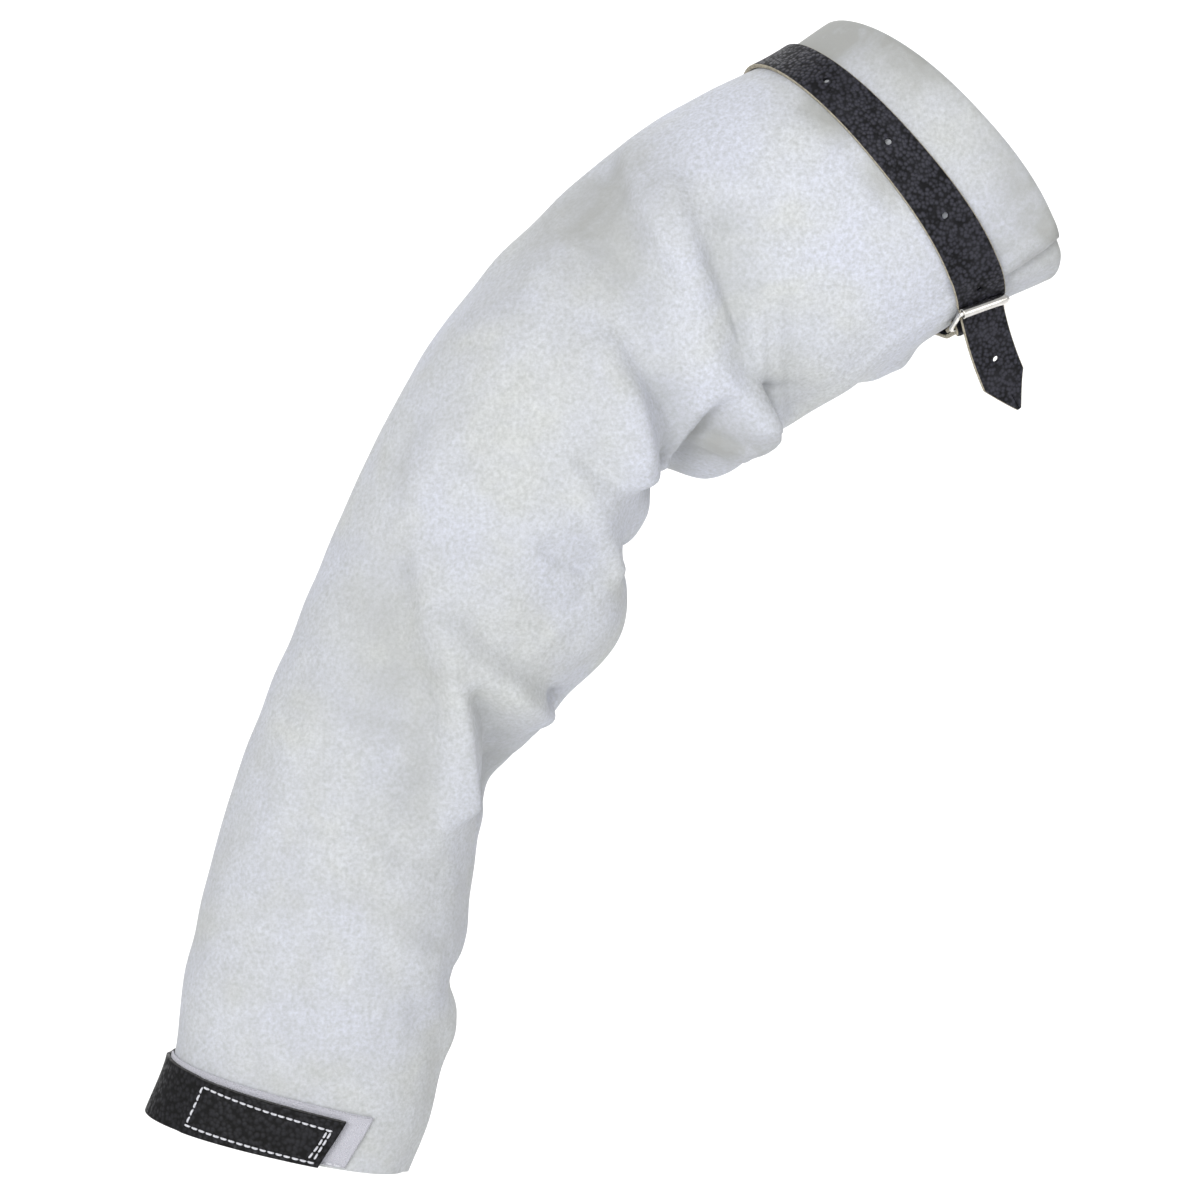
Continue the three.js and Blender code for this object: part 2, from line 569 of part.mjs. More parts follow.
// The back strap: round the back to the heel bar, round the bar and back under itself
function buckleStrapGeometry() {
  const start = degrees(STRAP_JOIN_ANGLE + 360) - 2 * GAP / ROUND;
  const heelAngle = buckle.heelAngle;
  const doubled = STRAP_THICK + GAP;
  const stations = bandAngles(start, heelAngle).map((angle) => {
    const away = (angle - heelAngle) * ROUND;
    const lift = doubled * (1 - smoothstep(away, FOLD_BACK + STRAP_THICK, FOLD_BACK * 2))
      + (2 * LOOP_RADIUS - doubled) * (1 - smoothstep(away, 0, FOLD_BACK * 0.6));
    const height = STRAP_SEAT + lift + rideOver(strapAlong(angle), angle);
    return strapLine(angle, height, degrees(BUCKLE_TURN) * (1 - smoothstep(away, 0, FOLD_BACK * 3)));
  });
  stations.pop();
  const { heel, ahead } = buckle;
  const { normal } = tubeFrame(strapAlong(heelAngle), heelAngle);
  const out = normal.clone().addScaledVector(buckle.across, -normal.dot(buckle.across)).normalize();
  const onward = new THREE.Vector3().crossVectors(buckle.across, out).normalize();
  if (onward.dot(ahead) < 0) onward.negate();
  for (let i = 0; i <= 6; i += 1) {
    const swept = Math.PI * i / 6;
    const radial = out.clone().multiplyScalar(Math.cos(swept)).addScaledVector(onward, -Math.sin(swept));
    stations.push(flatStation(heel.clone().addScaledVector(radial, LOOP_RADIUS), radial, STRAP_WIDTH / 2));
  }
  const underneath = bandAngles(heelAngle, heelAngle + FOLD_BACK / ROUND).slice(1);
  for (const angle of underneath) {
    const line = strapLine(angle, STRAP_SEAT, degrees(BUCKLE_TURN));
    stations.push(line.map(({ point, normal: n }) => ({ point, normal: n.clone().negate() })));
  }
  const slot = new THREE.BoxGeometry(PRONG_SLOT, FOLD_BACK, LOOP_RADIUS * 6);
  placeInBuckle(slot.translate(0, FOLD_BACK / 2 - LOOP_RADIUS * 1.6, 0), heel);
  return cutAway(bandGeometry(stations), [slot]);
}

function frameGeometry() {
  const inside = ROLLER_LENGTH + 2 * GAP;
  const half = inside / 2 + FRAME_BAR;
  const bar = FRAME_BAR / 2;
  const corner = FRAME_BAR;
  const outline = new THREE.Shape();
  outline.moveTo(-half + corner, -bar);
  outline.lineTo(half - corner, -bar);
  outline.absarc(half - corner, -bar + corner, corner, -Math.PI / 2, 0, false);
  outline.lineTo(half, FRAME_SPAN + bar - corner);
  outline.absarc(half - corner, FRAME_SPAN + bar - corner, corner, 0, Math.PI / 2, false);
  outline.lineTo(-half + corner, FRAME_SPAN + bar);
  outline.absarc(-half + corner, FRAME_SPAN + bar - corner, corner, Math.PI / 2, Math.PI, false);
  outline.lineTo(-half, -bar + corner);
  outline.absarc(-half + corner, -bar + corner, corner, Math.PI, Math.PI * 1.5, false);
  const window = new THREE.Path();
  window.moveTo(-inside / 2, bar);
  window.lineTo(-inside / 2, FRAME_SPAN - bar);
  window.lineTo(inside / 2, FRAME_SPAN - bar);
  window.lineTo(inside / 2, bar);
  window.closePath();
  outline.holes.push(window);
  const solid = new THREE.ExtrudeGeometry(outline, {
    depth: FRAME_BAR, bevelEnabled: false, curveSegments: 5,
  });
  return placeInBuckle(solid.translate(0, 0, -FRAME_BAR / 2), buckle.roller);
}

function rollerGeometry() {
  const bore = FRAME_BAR / 2 * Math.SQRT2 + GAP;
  const half = ROLLER_LENGTH / 2;
  const outline = [[bore, -half], [ROLLER_RADIUS, -half], [ROLLER_RADIUS, half], [bore, half], [bore, -half]];
  const tube = new THREE.LatheGeometry(outline.map(([x, y]) => new THREE.Vector2(x, y)), 20);
  return placeInBuckle(tube.rotateZ(Math.PI / 2), buckle.roller);
}

// The prong: hooked round the heel bar, its tip leaning on the tail's back face
function prongAngle() {
  const bend = degrees(TAIL_BEND);
  const back = PASS_RADIUS + STRAP_THICK / 2;
  const ring = FRAME_BAR / 2 * Math.SQRT2 + GAP + PRONG_RADIUS;
  const toTail = FRAME_SPAN * Math.sin(bend) - back;
  let open = 0;
  for (let i = 0; i < 8; i += 1) {
    const reach = toTail + ring * Math.cos(open) - PRONG_RADIUS - GAP;
    open = Math.asin(clamp(reach / PRONG_LENGTH, 0, 1));
  }
  return bend + open;
}

function prongGeometry() {
  const angle = prongAngle();
  const ring = FRAME_BAR / 2 * Math.SQRT2 + GAP + PRONG_RADIUS;
  const at = (a, r) => new THREE.Vector3(0, Math.cos(a) * r, Math.sin(a) * r);
  const points = [];
  const leave = angle - Math.PI / 2;
  for (let i = 0; i <= 14; i += 1) points.push(at(leave - degrees(265) * (1 - i / 14), ring));
  const end = points.at(-1);
  for (const share of [0.35, 0.7, 1]) points.push(end.clone().add(at(angle, PRONG_LENGTH * share)));
  const path = new THREE.CatmullRomCurve3(points, false, 'centripetal');
  const circle = new THREE.Shape().absarc(0, 0, PRONG_RADIUS, 0, Math.PI * 2, false);
  const wire = new THREE.ExtrudeGeometry(circle, { steps: 22, extrudePath: path, curveSegments: 4 });
  return placeInBuckle(wire, buckle.heel);
}

// A patch or tab on the wrist: a slab round the tube between two angles, its lower and upper
// edges as shares along, its underside at a height over the leather's middle
function wristPiece({ from, to, lower, upper, seat, thick }) {
  const angles = bandAngles(degrees(from), degrees(to));
  const line = (angle, lift) => [0, 0.5, 1].map((share) => {
    const along = THREE.MathUtils.lerp(lower(angle), upper(angle), share);
    const slant = degrees(END_SLANT) * (1 - share) * smoothstep(angle, degrees(to - SLANT_RUN), degrees(to));
    return lifted(along, angle - slant, seat(angle) + lift).point;
  });
  return slab(angles.map((a) => line(a, thick)), angles.map((a) => line(a, 0)), false);
}

const tabUpper = (angle) => {
  const share = (angle - degrees(TAB_ROOT_ANGLE)) / degrees(TAB_END_ANGLE - TAB_ROOT_ANGLE);
  return THREE.MathUtils.lerp(TAB_ROOT_WIDTH, TAB_END_WIDTH, share) / LENGTH;
};
const loopUpper = (angle) => {
  const share = (angle - degrees(LOOP_START_ANGLE)) / degrees(LOOP_END_ANGLE - LOOP_START_ANGLE);
  return tabUpper(angle) + THREE.MathUtils.lerp(PATCH_SHOW_START, PATCH_SHOW_END, share) / LENGTH;
};
const PATCH_SEAT = WALL / 2 + GAP;
const PATCH_RISE = PATCH_THICK + GAP;

// Rises from 0 to 1 over a short run before the start angle
function risesBefore(angle, startDegrees) {
  const away = (degrees(startDegrees) - angle) * ROUND;
  return 1 - smoothstep(away, GAP, LAP_RUN);
}

const wristShapes = {
  loop: {
    from: LOOP_START_ANGLE,
    to: LOOP_END_ANGLE,
    lower: () => PATCH_INSET / LENGTH,
    upper: loopUpper,
    seat: () => PATCH_SEAT,
    thick: PATCH_THICK,
  },
  hook: {
    from: HOOK_START_ANGLE,
    to: TAB_END_ANGLE - THREE.MathUtils.radToDeg(HOOK_INSET / ROUND),
    lower: () => HOOK_INSET / LENGTH,
    upper: (angle) => tabUpper(angle) - HOOK_INSET / LENGTH,
    seat: () => PATCH_SEAT + PATCH_RISE,
    thick: PATCH_THICK,
  },
  tab: {
    from: TAB_ROOT_ANGLE,
    to: TAB_END_ANGLE,
    lower: () => 0,
    upper: tabUpper,
    seat: (angle) => PATCH_SEAT + PATCH_RISE * risesBefore(angle, LOOP_START_ANGLE)
      + PATCH_RISE * risesBefore(angle, HOOK_START_ANGLE),
    thick: TAB_THICK,
  },
};

const material = {
  suede: () => new THREE.MeshStandardMaterial({ color: 0xc9cdd0, roughness: 0.95, metalness: 0 }),
  leather: () => new THREE.MeshStandardMaterial({ color: 0x2c2c31, roughness: 0.55, metalness: 0 }),
  nickel: () => new THREE.MeshStandardMaterial({ color: 0xc8c6c0, roughness: 0.2, metalness: 1 }),
  loops: () => new THREE.MeshStandardMaterial({ color: 0xd6d6de, roughness: 0.9, metalness: 0 }),
  hooks: () => new THREE.MeshStandardMaterial({ color: 0xb4b4ba, roughness: 0.8, metalness: 0 }),
};

const group = new THREE.Group();
function add(name, geometry, finish) {
  const mesh = new THREE.Mesh(geometry, finish);
  mesh.name = name;
  group.add(mesh);
}

add('sleeve_body', sleeveGeometry(), material.suede());
add('upper_strap', upperStrapGeometry(), material.leather());
add('buckle_strap', buckleStrapGeometry(), material.leather());
add('buckle_frame', frameGeometry(), material.nickel());
add('buckle_roller', rollerGeometry(), material.nickel());
add('buckle_prong', prongGeometry(), material.nickel());
add('wrist_tab', wristPiece(wristShapes.tab), material.leather());
add('hook_patch', wristPiece(wristShapes.hook), material.hooks());
add('loop_patch', wristPiece(wristShapes.loop), material.loops());

export default group;
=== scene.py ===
import math

import bpy
import numpy as np
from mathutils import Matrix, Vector


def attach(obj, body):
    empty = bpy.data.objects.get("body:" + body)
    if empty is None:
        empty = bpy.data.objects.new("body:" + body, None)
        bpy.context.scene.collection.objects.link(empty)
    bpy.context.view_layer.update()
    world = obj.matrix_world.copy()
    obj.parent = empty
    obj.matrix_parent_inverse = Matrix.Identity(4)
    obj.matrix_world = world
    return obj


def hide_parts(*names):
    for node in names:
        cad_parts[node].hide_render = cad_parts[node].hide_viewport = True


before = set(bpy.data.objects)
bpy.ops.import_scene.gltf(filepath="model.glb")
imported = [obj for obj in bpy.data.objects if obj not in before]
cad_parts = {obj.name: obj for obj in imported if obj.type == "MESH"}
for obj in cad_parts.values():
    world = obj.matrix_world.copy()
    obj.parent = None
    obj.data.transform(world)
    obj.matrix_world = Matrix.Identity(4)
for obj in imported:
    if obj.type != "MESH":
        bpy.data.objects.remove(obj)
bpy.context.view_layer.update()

bl_info = {
    "name": "Welding sleeve",
    "version": (1, 0, 0),
    "blender": (4, 5, 0),
    "location": "3D View > Sidebar > Welding sleeve",
    "description": "A split-leather welding sleeve with a strap, a roller buckle and a wrist tab",
    "category": "Object",
}

MM = 0.001

# The sleeve's form, in millimetres: the same sizes and tables as the solids
LENGTH = 558.0
WIDTH = 150.0
DEPTH = 112.0
RIM_REACH = 15.0
STRAP_ALONG = 0.937
STRAP_BOW = 0.019
ORIGIN_ALONG = 0.94
SECTION_POWER = 0.9
SPINE_STEPS = 440
SPINE_END = 1.1
EDGE_ZONE = 0.1
NORMAL_REACH = 2.5
WAVE_SEED = 7
WAVE_COUNT = 14
WAVE_SHORTEST = 16
WAVE_LONGEST = 46
WAVE_MEAN = 30
WAVE_DEPTH = 1.5
MOST_SOIL_AND_SHADE = 1.6
HOLLOW_DEPTH = 7.0
LEAST_FACES = 1000
ROUND = (WIDTH + DEPTH) / 4
GAP = 0.3

# along, heading and skew in degrees, outer and inner half-sizes as shares of WIDTH, depth of DEPTH
SECTIONS = np.array([
    [0.00, 75.5, 1.5, 0.392, 0.377, 0.304],
    [0.045, 75.5, 0.7, 0.37, 0.398, 0.321],
    [0.1, 75.5, 0.0, 0.396, 0.387, 0.339],
    [0.2, 74.0, 0.0, 0.41, 0.363, 0.366],
    [0.29, 70.0, 0.0, 0.413, 0.313, 0.393],
    [0.38, 66.5, 0.0, 0.417, 0.36, 0.429],
    [0.48, 64.5, 0.0, 0.427, 0.407, 0.464],
    [0.59, 57.5, 1.0, 0.447, 0.363, 0.491],
    [0.69, 43.5, 3.0, 0.46, 0.427, 0.509],
    [0.79, 34.0, 5.0, 0.497, 0.47, 0.518],
    [0.88, 30.0, 7.5, 0.497, 0.473, 0.509],
    [0.94, 30.0, 9.0, 0.484, 0.472, 0.5],
    [1.00, 31.0, 11.5, 0.5, 0.507, 0.491],
])

# Folds from a to b: alongA, angleA, alongB, angleB, bow, widthA, widthB, heightA, heightB, leanA,
# leanB, sharp, steep; bow, width, height and lean are shares of WIDTH
FOLDS = {
    "upperCrest": [0.796, -28, 0.735, 70, 0.036, 0.083, 0.06, 0.032, 0.056, -0.006, -0.04, 2.0, -0.4],
    "upperCrease": [0.816, -8, 0.75, 52, 0.085, 0.093, 0.075, -0.04, -0.086, 0, 0, 1.8, 0.35],
    "crestHollow": [0.776, -64, 0.746, -8, 0, 0.107, 0.093, -0.036, -0.032, 0, 0, 2.0, -0.6],
    "twinCrest": [0.795, 13, 0.741, 58, 0, 0.04, 0.047, 0.02, 0.054, 0, -0.013, 1.8, -0.2],
    "twinCrease": [0.818, 27, 0.772, 76, 0.02, 0.073, 0.06, -0.02, -0.03, 0, 0, 1.8, 0.5],
    "tongue": [0.724, 34, 0.64, 51, 0, 0.04, 0.053, 0.007, 0.053, -0.007, -0.053, 2.0, -0.2],
    "pocket": [0.72, 43, 0.644, 69, 0, 0.04, 0.103, -0.02, -0.118, 0, 0, 1.8, 0.2],
    "pocketBack": [0.64, 70, 0.63, 130, 0, 0.08, 0.093, -0.073, -0.093, 0, 0, 2.0, 0],
    "rolledBulge": [0.722, 62, 0.69, 108, 0, 0.073, 0.107, 0.03, 0.053, 0, 0, 2.0, 0],
    "middleCrease": [0.694, 12, 0.64, 47, -0.057, 0.093, 0.087, -0.034, -0.08, 0, 0, 1.7, 0.4],
    "middleCrest": [0.685, 0, 0.624, 46, -0.024, 0.06, 0.05, 0.028, 0.048, 0, -0.014, 2.0, -0.4],
    "flankRidge": [0.65, -40, 0.628, 40, -0.01, 0.153, 0.107, 0.028, 0.028, 0, 0, 1.5, 0.6],
    "elbowCrease": [0.606, 20, 0.604, 38, 0, 0.053, 0.047, -0.026, -0.01, 0, 0, 1.8, 0.3],
    "elbowCrest": [0.596, 16, 0.54, 64, 0, 0.06, 0.053, 0.016, 0.036, 0, -0.01, 1.6, 0.3],
    "elbowNotch": [0.552, 70, 0.56, 130, 0, 0.04, 0.08, -0.047, -0.053, 0, 0, 2.0, 0],
    "bulgeRidge": [0.588, 36, 0.438, -4, 0.044, 0.12, 0.107, 0.036, 0.04, 0, 0, 1.6, 0.3],
    "innerCrease": [0.527, 23, 0.526, 46, 0, 0.036, 0.03, -0.016, -0.01, 0, 0, 2.0, 0.3],
    "bulge": [0.495, 76, 0.48, 120, 0, 0.147, 0.173, 0.06, 0.053, 0, 0, 2.0, 0],
    "lowerCrest": [0.43, 2, 0.404, 74, 0.02, 0.067, 0.053, 0.027, 0.047, 0, 0, 2.0, -0.2],
    "lowerPit": [0.457, 4, 0.428, 62, 0.026, 0.063, 0.053, -0.01, -0.016, 0, 0, 1.6, 0.4],
    "lowerHollow": [0.396, 26, 0.334, 82, 0, 0.043, 0.113, -0.047, -0.12, 0, 0, 1.8, 0.25],
    "lowerNotch": [0.322, 66, 0.335, 130, 0, 0.053, 0.08, -0.027, -0.02, 0, 0, 2.0, 0],
    "hollowLip": [0.41, 8, 0.308, 50, 0, 0.053, 0.047, 0.02, 0.04, 0, -0.033, 2.0, -0.2],
    "forearmHollow": [0.452, -22, 0.316, 24, 0, 0.12, 0.107, -0.04, -0.038, 0, 0, 2.0, -0.6],
    "forearmBump": [0.12, 90, 0.13, 100, 0, 0.093, 0.093, 0.027, 0.027, 0, 0, 2.0, 0],
    "forearmDip": [0.16, 90, 0.16, 96, 0, 0.067, 0.067, -0.033, -0.033, 0, 0, 2.0, 0],
    "elbowHollow": [0.742, -26, 0.73, 6, 0, 0.08, 0.067, -0.013, -0.013, 0, 0, 2.0, 0],
    "backRoll": [0.876, 103, 0.856, 104, 0, 0.06, 0.06, 0.045, 0.04, 0, 0, 2.0, 0],
    "rimCrease": [0.964, 64, 1.02, 56, 0, 0.027, 0.027, -0.02, -0.026, 0, 0, 1.8, 0],
}

# The small, soft wrinkles and dents that lie over the main folds, in the same columns
FINE_FOLDS = {
    "middleCore": [0.688, 18, 0.646, 46, -0.05, 0.042, 0.038, -0.01, -0.034, 0, 0, 1.8, 0.3],
    "upperCore": [0.8, 10, 0.754, 50, 0.07, 0.04, 0.036, -0.01, -0.018, 0, 0, 1.8, 0.3],
    "strapDent": [0.926, -34, 0.928, -16, 0, 0.04, 0.034, -0.012, -0.01, 0, 0, 2.0, 0],
    "strapDentLow": [0.927, -2, 0.925, 9, 0, 0.03, 0.03, -0.01, -0.008, 0, 0, 2.0, 0],
    "shoulderDent": [0.782, -74, 0.776, -62, 0, 0.04, 0.04, -0.012, -0.012, 0, 0, 2.0, 0],
    "outerDent": [0.7, -66, 0.68, -46, 0, 0.05, 0.05, -0.01, -0.008, 0, 0, 2.0, 0],
    "flankDiagonal": [0.618, -17, 0.534, -27, -0.03, 0.026, 0.03, -0.008, -0.006, 0, 0, 2.0, 0.3],
    "outerWrinkleLow": [0.555, -50, 0.5, -38, 0.01, 0.05, 0.04, -0.01, -0.006, 0, 0, 2.0, 0],
    "pitSpot": [0.421, 70, 0.423, 82, 0, 0.03, 0.03, -0.036, -0.036, 0, 0, 2.0, 0],
    "bulgeLine": [0.532, 64, 0.45, 40, 0, 0.036, 0.036, 0.006, 0.006, 0, 0, 2.0, 0],
    "forearmWrinkle": [0.262, 10, 0.252, 48, 0.01, 0.03, 0.026, -0.008, -0.012, 0, 0, 2.0, 0],
    "forearmWrinkleLow": [0.205, 30, 0.19, 66, 0, 0.034, 0.03, -0.004, -0.008, 0, 0, 2.0, 0],
}

# Where the leather is darker: soil on the outer side, the outer elbow and the forearm's hollow; painted
# shade under the strap's lower edge and round the rim's edge and side; a plain darkening on the wrist half,
# the rim's top, the rolled bulge and the middle. Columns: along, angle in degrees, reach along, reach round
# in degrees, strength
SOIL_AND_SHADE = {
    "lowerHalf": [0.14, 0, 0.5, 900, 0.44],
    "outerSide": [0.752, -52, 0.06, 30, 0.9],
    "outerElbow": [0.56, -44, 0.15, 22, 0.3],
    "foreHollow": [0.4, -4, 0.08, 22, 0.28],
    "rimTop": [0.995, -66, 0.062, 40, 1.6],
    # painted shade where the rim's edge turns away
    "rimEdgeShade": [1.015, 0, 0.03, 900, 0.8],
    "bulge": [0.7, 66, 0.03, 18, 0.9],
    # painted shade on the rim's side
    "rimSideShade": [0.995, 45, 0.05, 26, 0.7],
    # painted shade under the strap's lower edge, in this entry and the next
    "shadeUnderStrap": [0.929, -25, 0.011, 13, 1.1],
    "shadeUnderStrapLow": [0.929, 3, 0.009, 8, 1.00],
    "middle": [0.64, -2, 0.08, 40, 0.2],
}

# The lapped seam along the sleeve's underside: share of LENGTH, angle in degrees
SEAM = np.array([
    [0.00, 96], [0.3, 98], [0.55, 92], [0.64, 72], [0.675, 66], [0.71, 79], [0.8, 90], [0.86, 74],
    [0.93, 70], [0.97, 63], [1.00, 56],
])


# The sleeve's surface

def smooth_curve(x, y):
    """A curve through the points x, y with Catmull-Rom slopes on uneven steps."""
    gap = np.diff(x)
    rise = np.diff(y) / gap
    slope = np.concatenate([
        rise[:1], (gap[1:] * rise[:-1] + gap[:-1] * rise[1:]) / (gap[1:] + gap[:-1]), rise[-1:],
    ])

    def curve(q):
        i = np.clip(np.searchsorted(x, q, side="right") - 1, 0, len(x) - 2)
        h = x[i + 1] - x[i]
        t = (q - x[i]) / h
        return ((2 * t**3 - 3 * t**2 + 1) * y[i] + (t**3 - 2 * t**2 + t) * h * slope[i]
                + (3 * t**2 - 2 * t**3) * y[i + 1] + (t**3 - t**2) * h * slope[i + 1])
    return curve


section = {
    name: smooth_curve(SECTIONS[:, 0], SECTIONS[:, i + 1])
    for i, name in enumerate(["heading", "skew", "outer", "inner", "depth"])
}
seam_angle = smooth_curve(SEAM[:, 0], SEAM[:, 1])


def smoothstep(x, low, high):
    """0 below low, 1 above high, and a smooth cubic rise between them."""
    t = np.clip((x - low) / (high - low), 0, 1)
    return t * t * (3 - 2 * t)


def unit(v):
    """Vectors of length 1."""
    return v / np.maximum(np.linalg.norm(v, axis=-1, keepdims=True), 1e-12)


def circle(count):
    """Equally spaced angles round a full turn."""
    return np.linspace(0, np.pi * 2, count, endpoint=False)


def dot(a, b):
    """The dot products of rows of vectors."""
    return (a * b).sum(-1, keepdims=True)


def make_spine():
    """The centreline is the sum of unit steps along the heading, moved so that the strap is at 0."""
    step = SPINE_END / SPINE_STEPS
    slopes = np.radians(section["heading"](np.minimum(np.arange(SPINE_STEPS + 1) * step, 1)))
    path = np.zeros((SPINE_STEPS + 1, 3))
    path[1:, 0] = np.cumsum((np.cos(slopes[1:]) + np.cos(slopes[:-1])) / 2) * step * LENGTH
    path[1:, 2] = np.cumsum((np.sin(slopes[1:]) + np.sin(slopes[:-1])) / 2) * step * LENGTH

    def along_path(along):
        place = np.asarray(along, float) / step
        i = np.clip(np.floor(place).astype(int), 0, SPINE_STEPS - 1)
        return path[i] + (path[i + 1] - path[i]) * (place - i)[..., None]

    origin = along_path(ORIGIN_ALONG)
    return (lambda along: along_path(along) - origin,
            lambda along: np.interp(np.asarray(along, float) / step, np.arange(SPINE_STEPS + 1), slopes))


spine_at, spine_slope = make_spine()


def tube_point(along, angle):
    """The unfolded tube: the centreline, plus the section's half-size times the signed power of the
    sine across it, plus its half-depth times that of the cosine towards the front."""
    along, angle = np.broadcast_arrays(np.asarray(along, float), np.asarray(angle, float))
    held = np.clip(along, 0, 1)
    turn = spine_slope(along) + np.radians(section["skew"](held))
    sine, cosine = np.sin(angle), np.cos(angle)
    half = np.where(sine > 0, section["inner"](held), section["outer"](held)) * WIDTH
    across = half * np.sign(sine) * np.abs(sine)**SECTION_POWER
    forward = section["depth"](held) * DEPTH * np.sign(cosine) * np.abs(cosine)**SECTION_POWER
    offset = np.stack([np.sin(turn) * across, -forward, -np.cos(turn) * across], -1)
    return spine_at(along) + offset


def tube_frame(along, angle):
    """Point, directions along and round, and outward normal of the unfolded tube."""
    step = 1e-3
    point = tube_point(along, angle)
    down = unit(tube_point(along + step, angle) - tube_point(along - step, angle))
    around = unit(tube_point(along, angle + step * 2) - tube_point(along, angle - step * 2))
    normal = unit(np.cross(around, down))
    outward = dot(normal, point - spine_at(np.broadcast_to(along, point.shape[:-1]))) < 0
    return point, down, around, np.where(outward, -normal, normal)


def fold_at(along, angle, folds):
    """Sum of the folds at a place: each is a rounded profile over the distance from its bowed line,
    faded past its ends, that lifts along the normal and leans along the surface."""
    height = np.zeros(np.shape(along))
    lean_down = np.zeros(np.shape(along))
    lean_around = np.zeros(np.shape(along))
    for (a_along, a_angle, b_along, b_angle, bow, width_a, width_b, height_a, height_b,
         lean_a, lean_b, sharp, steep) in folds.values():
        middle = math.radians((a_angle + b_angle) / 2)
        turned = np.mod(angle - middle + np.pi, np.pi * 2) - np.pi + middle
        start = np.array([a_along * LENGTH, math.radians(a_angle) * ROUND])
        run = np.array([b_along * LENGTH, math.radians(b_angle) * ROUND]) - start
        length = float(np.hypot(*run))
        run = run / length
        here_x, here_y = along * LENGTH - start[0], turned * ROUND - start[1]
        share = (here_x * run[0] + here_y * run[1]) / length
        q = np.clip(share, 0, 1)
        off = -here_x * run[1] + here_y * run[0] - bow * WIDTH * 4 * q * (1 - q)
        width = (width_a + (width_b - width_a) * q) * WIDTH
        past = np.maximum(np.maximum(-share, share - 1), 0) * length / width
        wide = width * (1 - steep * np.tanh(2 * off / width))
        profile = np.exp(-np.abs(off / wide)**sharp - past**2)
        height += (height_a + (height_b - height_a) * q) * WIDTH * profile
        lean = (lean_a + (lean_b - lean_a) * q) * WIDTH * profile
        lean_down -= lean * run[1]
        lean_around += lean * run[0]
    return height, lean_down, lean_around


def undulation(along, angle):
    """Soft, uneven waves of worn leather: a sum of sine waves whose directions and lengths differ.
    They fade out towards the strap, the rim and the wrist, where pieces lie on the surface."""
    rng = np.random.default_rng(WAVE_SEED)
    x = along * LENGTH
    total = np.zeros(np.shape(x))
    for _ in range(WAVE_COUNT):
        turn = rng.uniform(0, np.pi)
        wave = rng.uniform(WAVE_SHORTEST, WAVE_LONGEST)
        phase = rng.uniform(0, np.pi * 2)
        around = max(1, round(abs(math.sin(turn)) * 2 * np.pi * ROUND / wave))
        total += wave * np.sin(x * math.cos(turn) * 2 * np.pi / wave + around * angle + phase)
    calm = smoothstep(along, 0.07, 0.15) * (1 - smoothstep(along, 0.84, 0.90))
    return total / (WAVE_COUNT * WAVE_MEAN) * WAVE_DEPTH * calm


def soiled_and_shaded(along, angle):
    """Sum of the soiled places and the places of painted shade, each a bell over the distances along and
    round.
    """
    total = np.zeros(np.shape(along))
    for a, b, reach, around, strength in SOIL_AND_SHADE.values():
        off = np.mod(np.degrees(angle) - b + 180, 360) - 180
        total += strength * np.exp(-((along - a) / reach)**2 - (off / around)**2)
    return np.clip(total, 0, MOST_SOIL_AND_SHADE)


ALL_FOLDS = {**FOLDS, **FINE_FOLDS}


def folded_point(along, angle):
    """The tube's point moved by the folds and the undulation."""
    point, down, around, normal = tube_frame(along, angle)
    height, lean_down, lean_around = fold_at(along, angle, ALL_FOLDS)
    height = height + undulation(along, angle)
    return point + normal * height[..., None] + down * lean_down[..., None] + around * lean_around[..., None]


def folded_frame(along, angle, reach):
    """The folded point, and the normal over a reach of a few wall thicknesses."""
    a, b = reach / LENGTH, reach / ROUND
    down = folded_point(along + a, angle) - folded_point(along - a, angle)
    around = folded_point(along, angle + b) - folded_point(along, angle - b)
    return folded_point(along, angle), -unit(np.cross(down, around))


def edge_share(along, angle):
    """The share along, stretched near the rim, which reaches further at its front."""
    reach = RIM_REACH / LENGTH * np.maximum(np.cos(angle), 0)**1.2
    return along + reach * np.clip((along - 1 + EDGE_ZONE) / EDGE_ZONE, 0, 1)**1.5


def ride_over(along, angle, wall, width, run):
    """How far a piece that crosses the seam rides up over the overlap."""
    distance = (np.radians(seam_angle(np.clip(along, 0, 1))) - angle) * ROUND
    front = 1 - smoothstep(distance, width + run, width + 2 * run)
    back = smoothstep(distance, -2 * run, -run / 2)
    return wall * front * back


def spread(spans):
    """The shares at the ends of each span's equal steps."""
    parts = [np.linspace(low, high, count, endpoint=False) for low, high, count in spans]
    return np.concatenate(parts + [[spans[-1][1]]])


# Meshes

def grid_faces(rows, columns, round_rows=False, round_columns=False):
    """Quads of a grid of rows and columns; a round side joins its last line to its first."""
    i = np.arange(rows if round_rows else rows - 1)
    j = np.arange(columns if round_columns else columns - 1)
    i, j = np.meshgrid(i, j, indexing="ij")
    here, below, right = i * columns, (i + 1) % rows * columns, (j + 1) % columns
    quads = np.stack([here + j, here + right, below + right, below + j], -1)
    return quads.reshape(-1, 4)


def tube_faces(count, rings, sides):
    """Faces of count tubes, each of rings by sides points, closed by one face at each end."""
    first = (np.arange(count) * rings * sides)[:, None, None]
    walls = (grid_faces(rings, sides, round_columns=True)[None] + first).reshape(-1, 4)
    ring = np.arange(sides)[None]
    starts = ring[:, ::-1] + first[:, 0]
    ends = ring + (rings - 1) * sides + first[:, 0]
    return [walls, starts, ends]


def strip_faces(points):
    """Faces of one closed strip or wire, whose points are given ring by ring."""
    return tube_faces(1, *points.shape[:2])


def ring_faces(points):
    """Faces of a grid that is round both ways."""
    return [grid_faces(*points.shape[:2], True, True)]


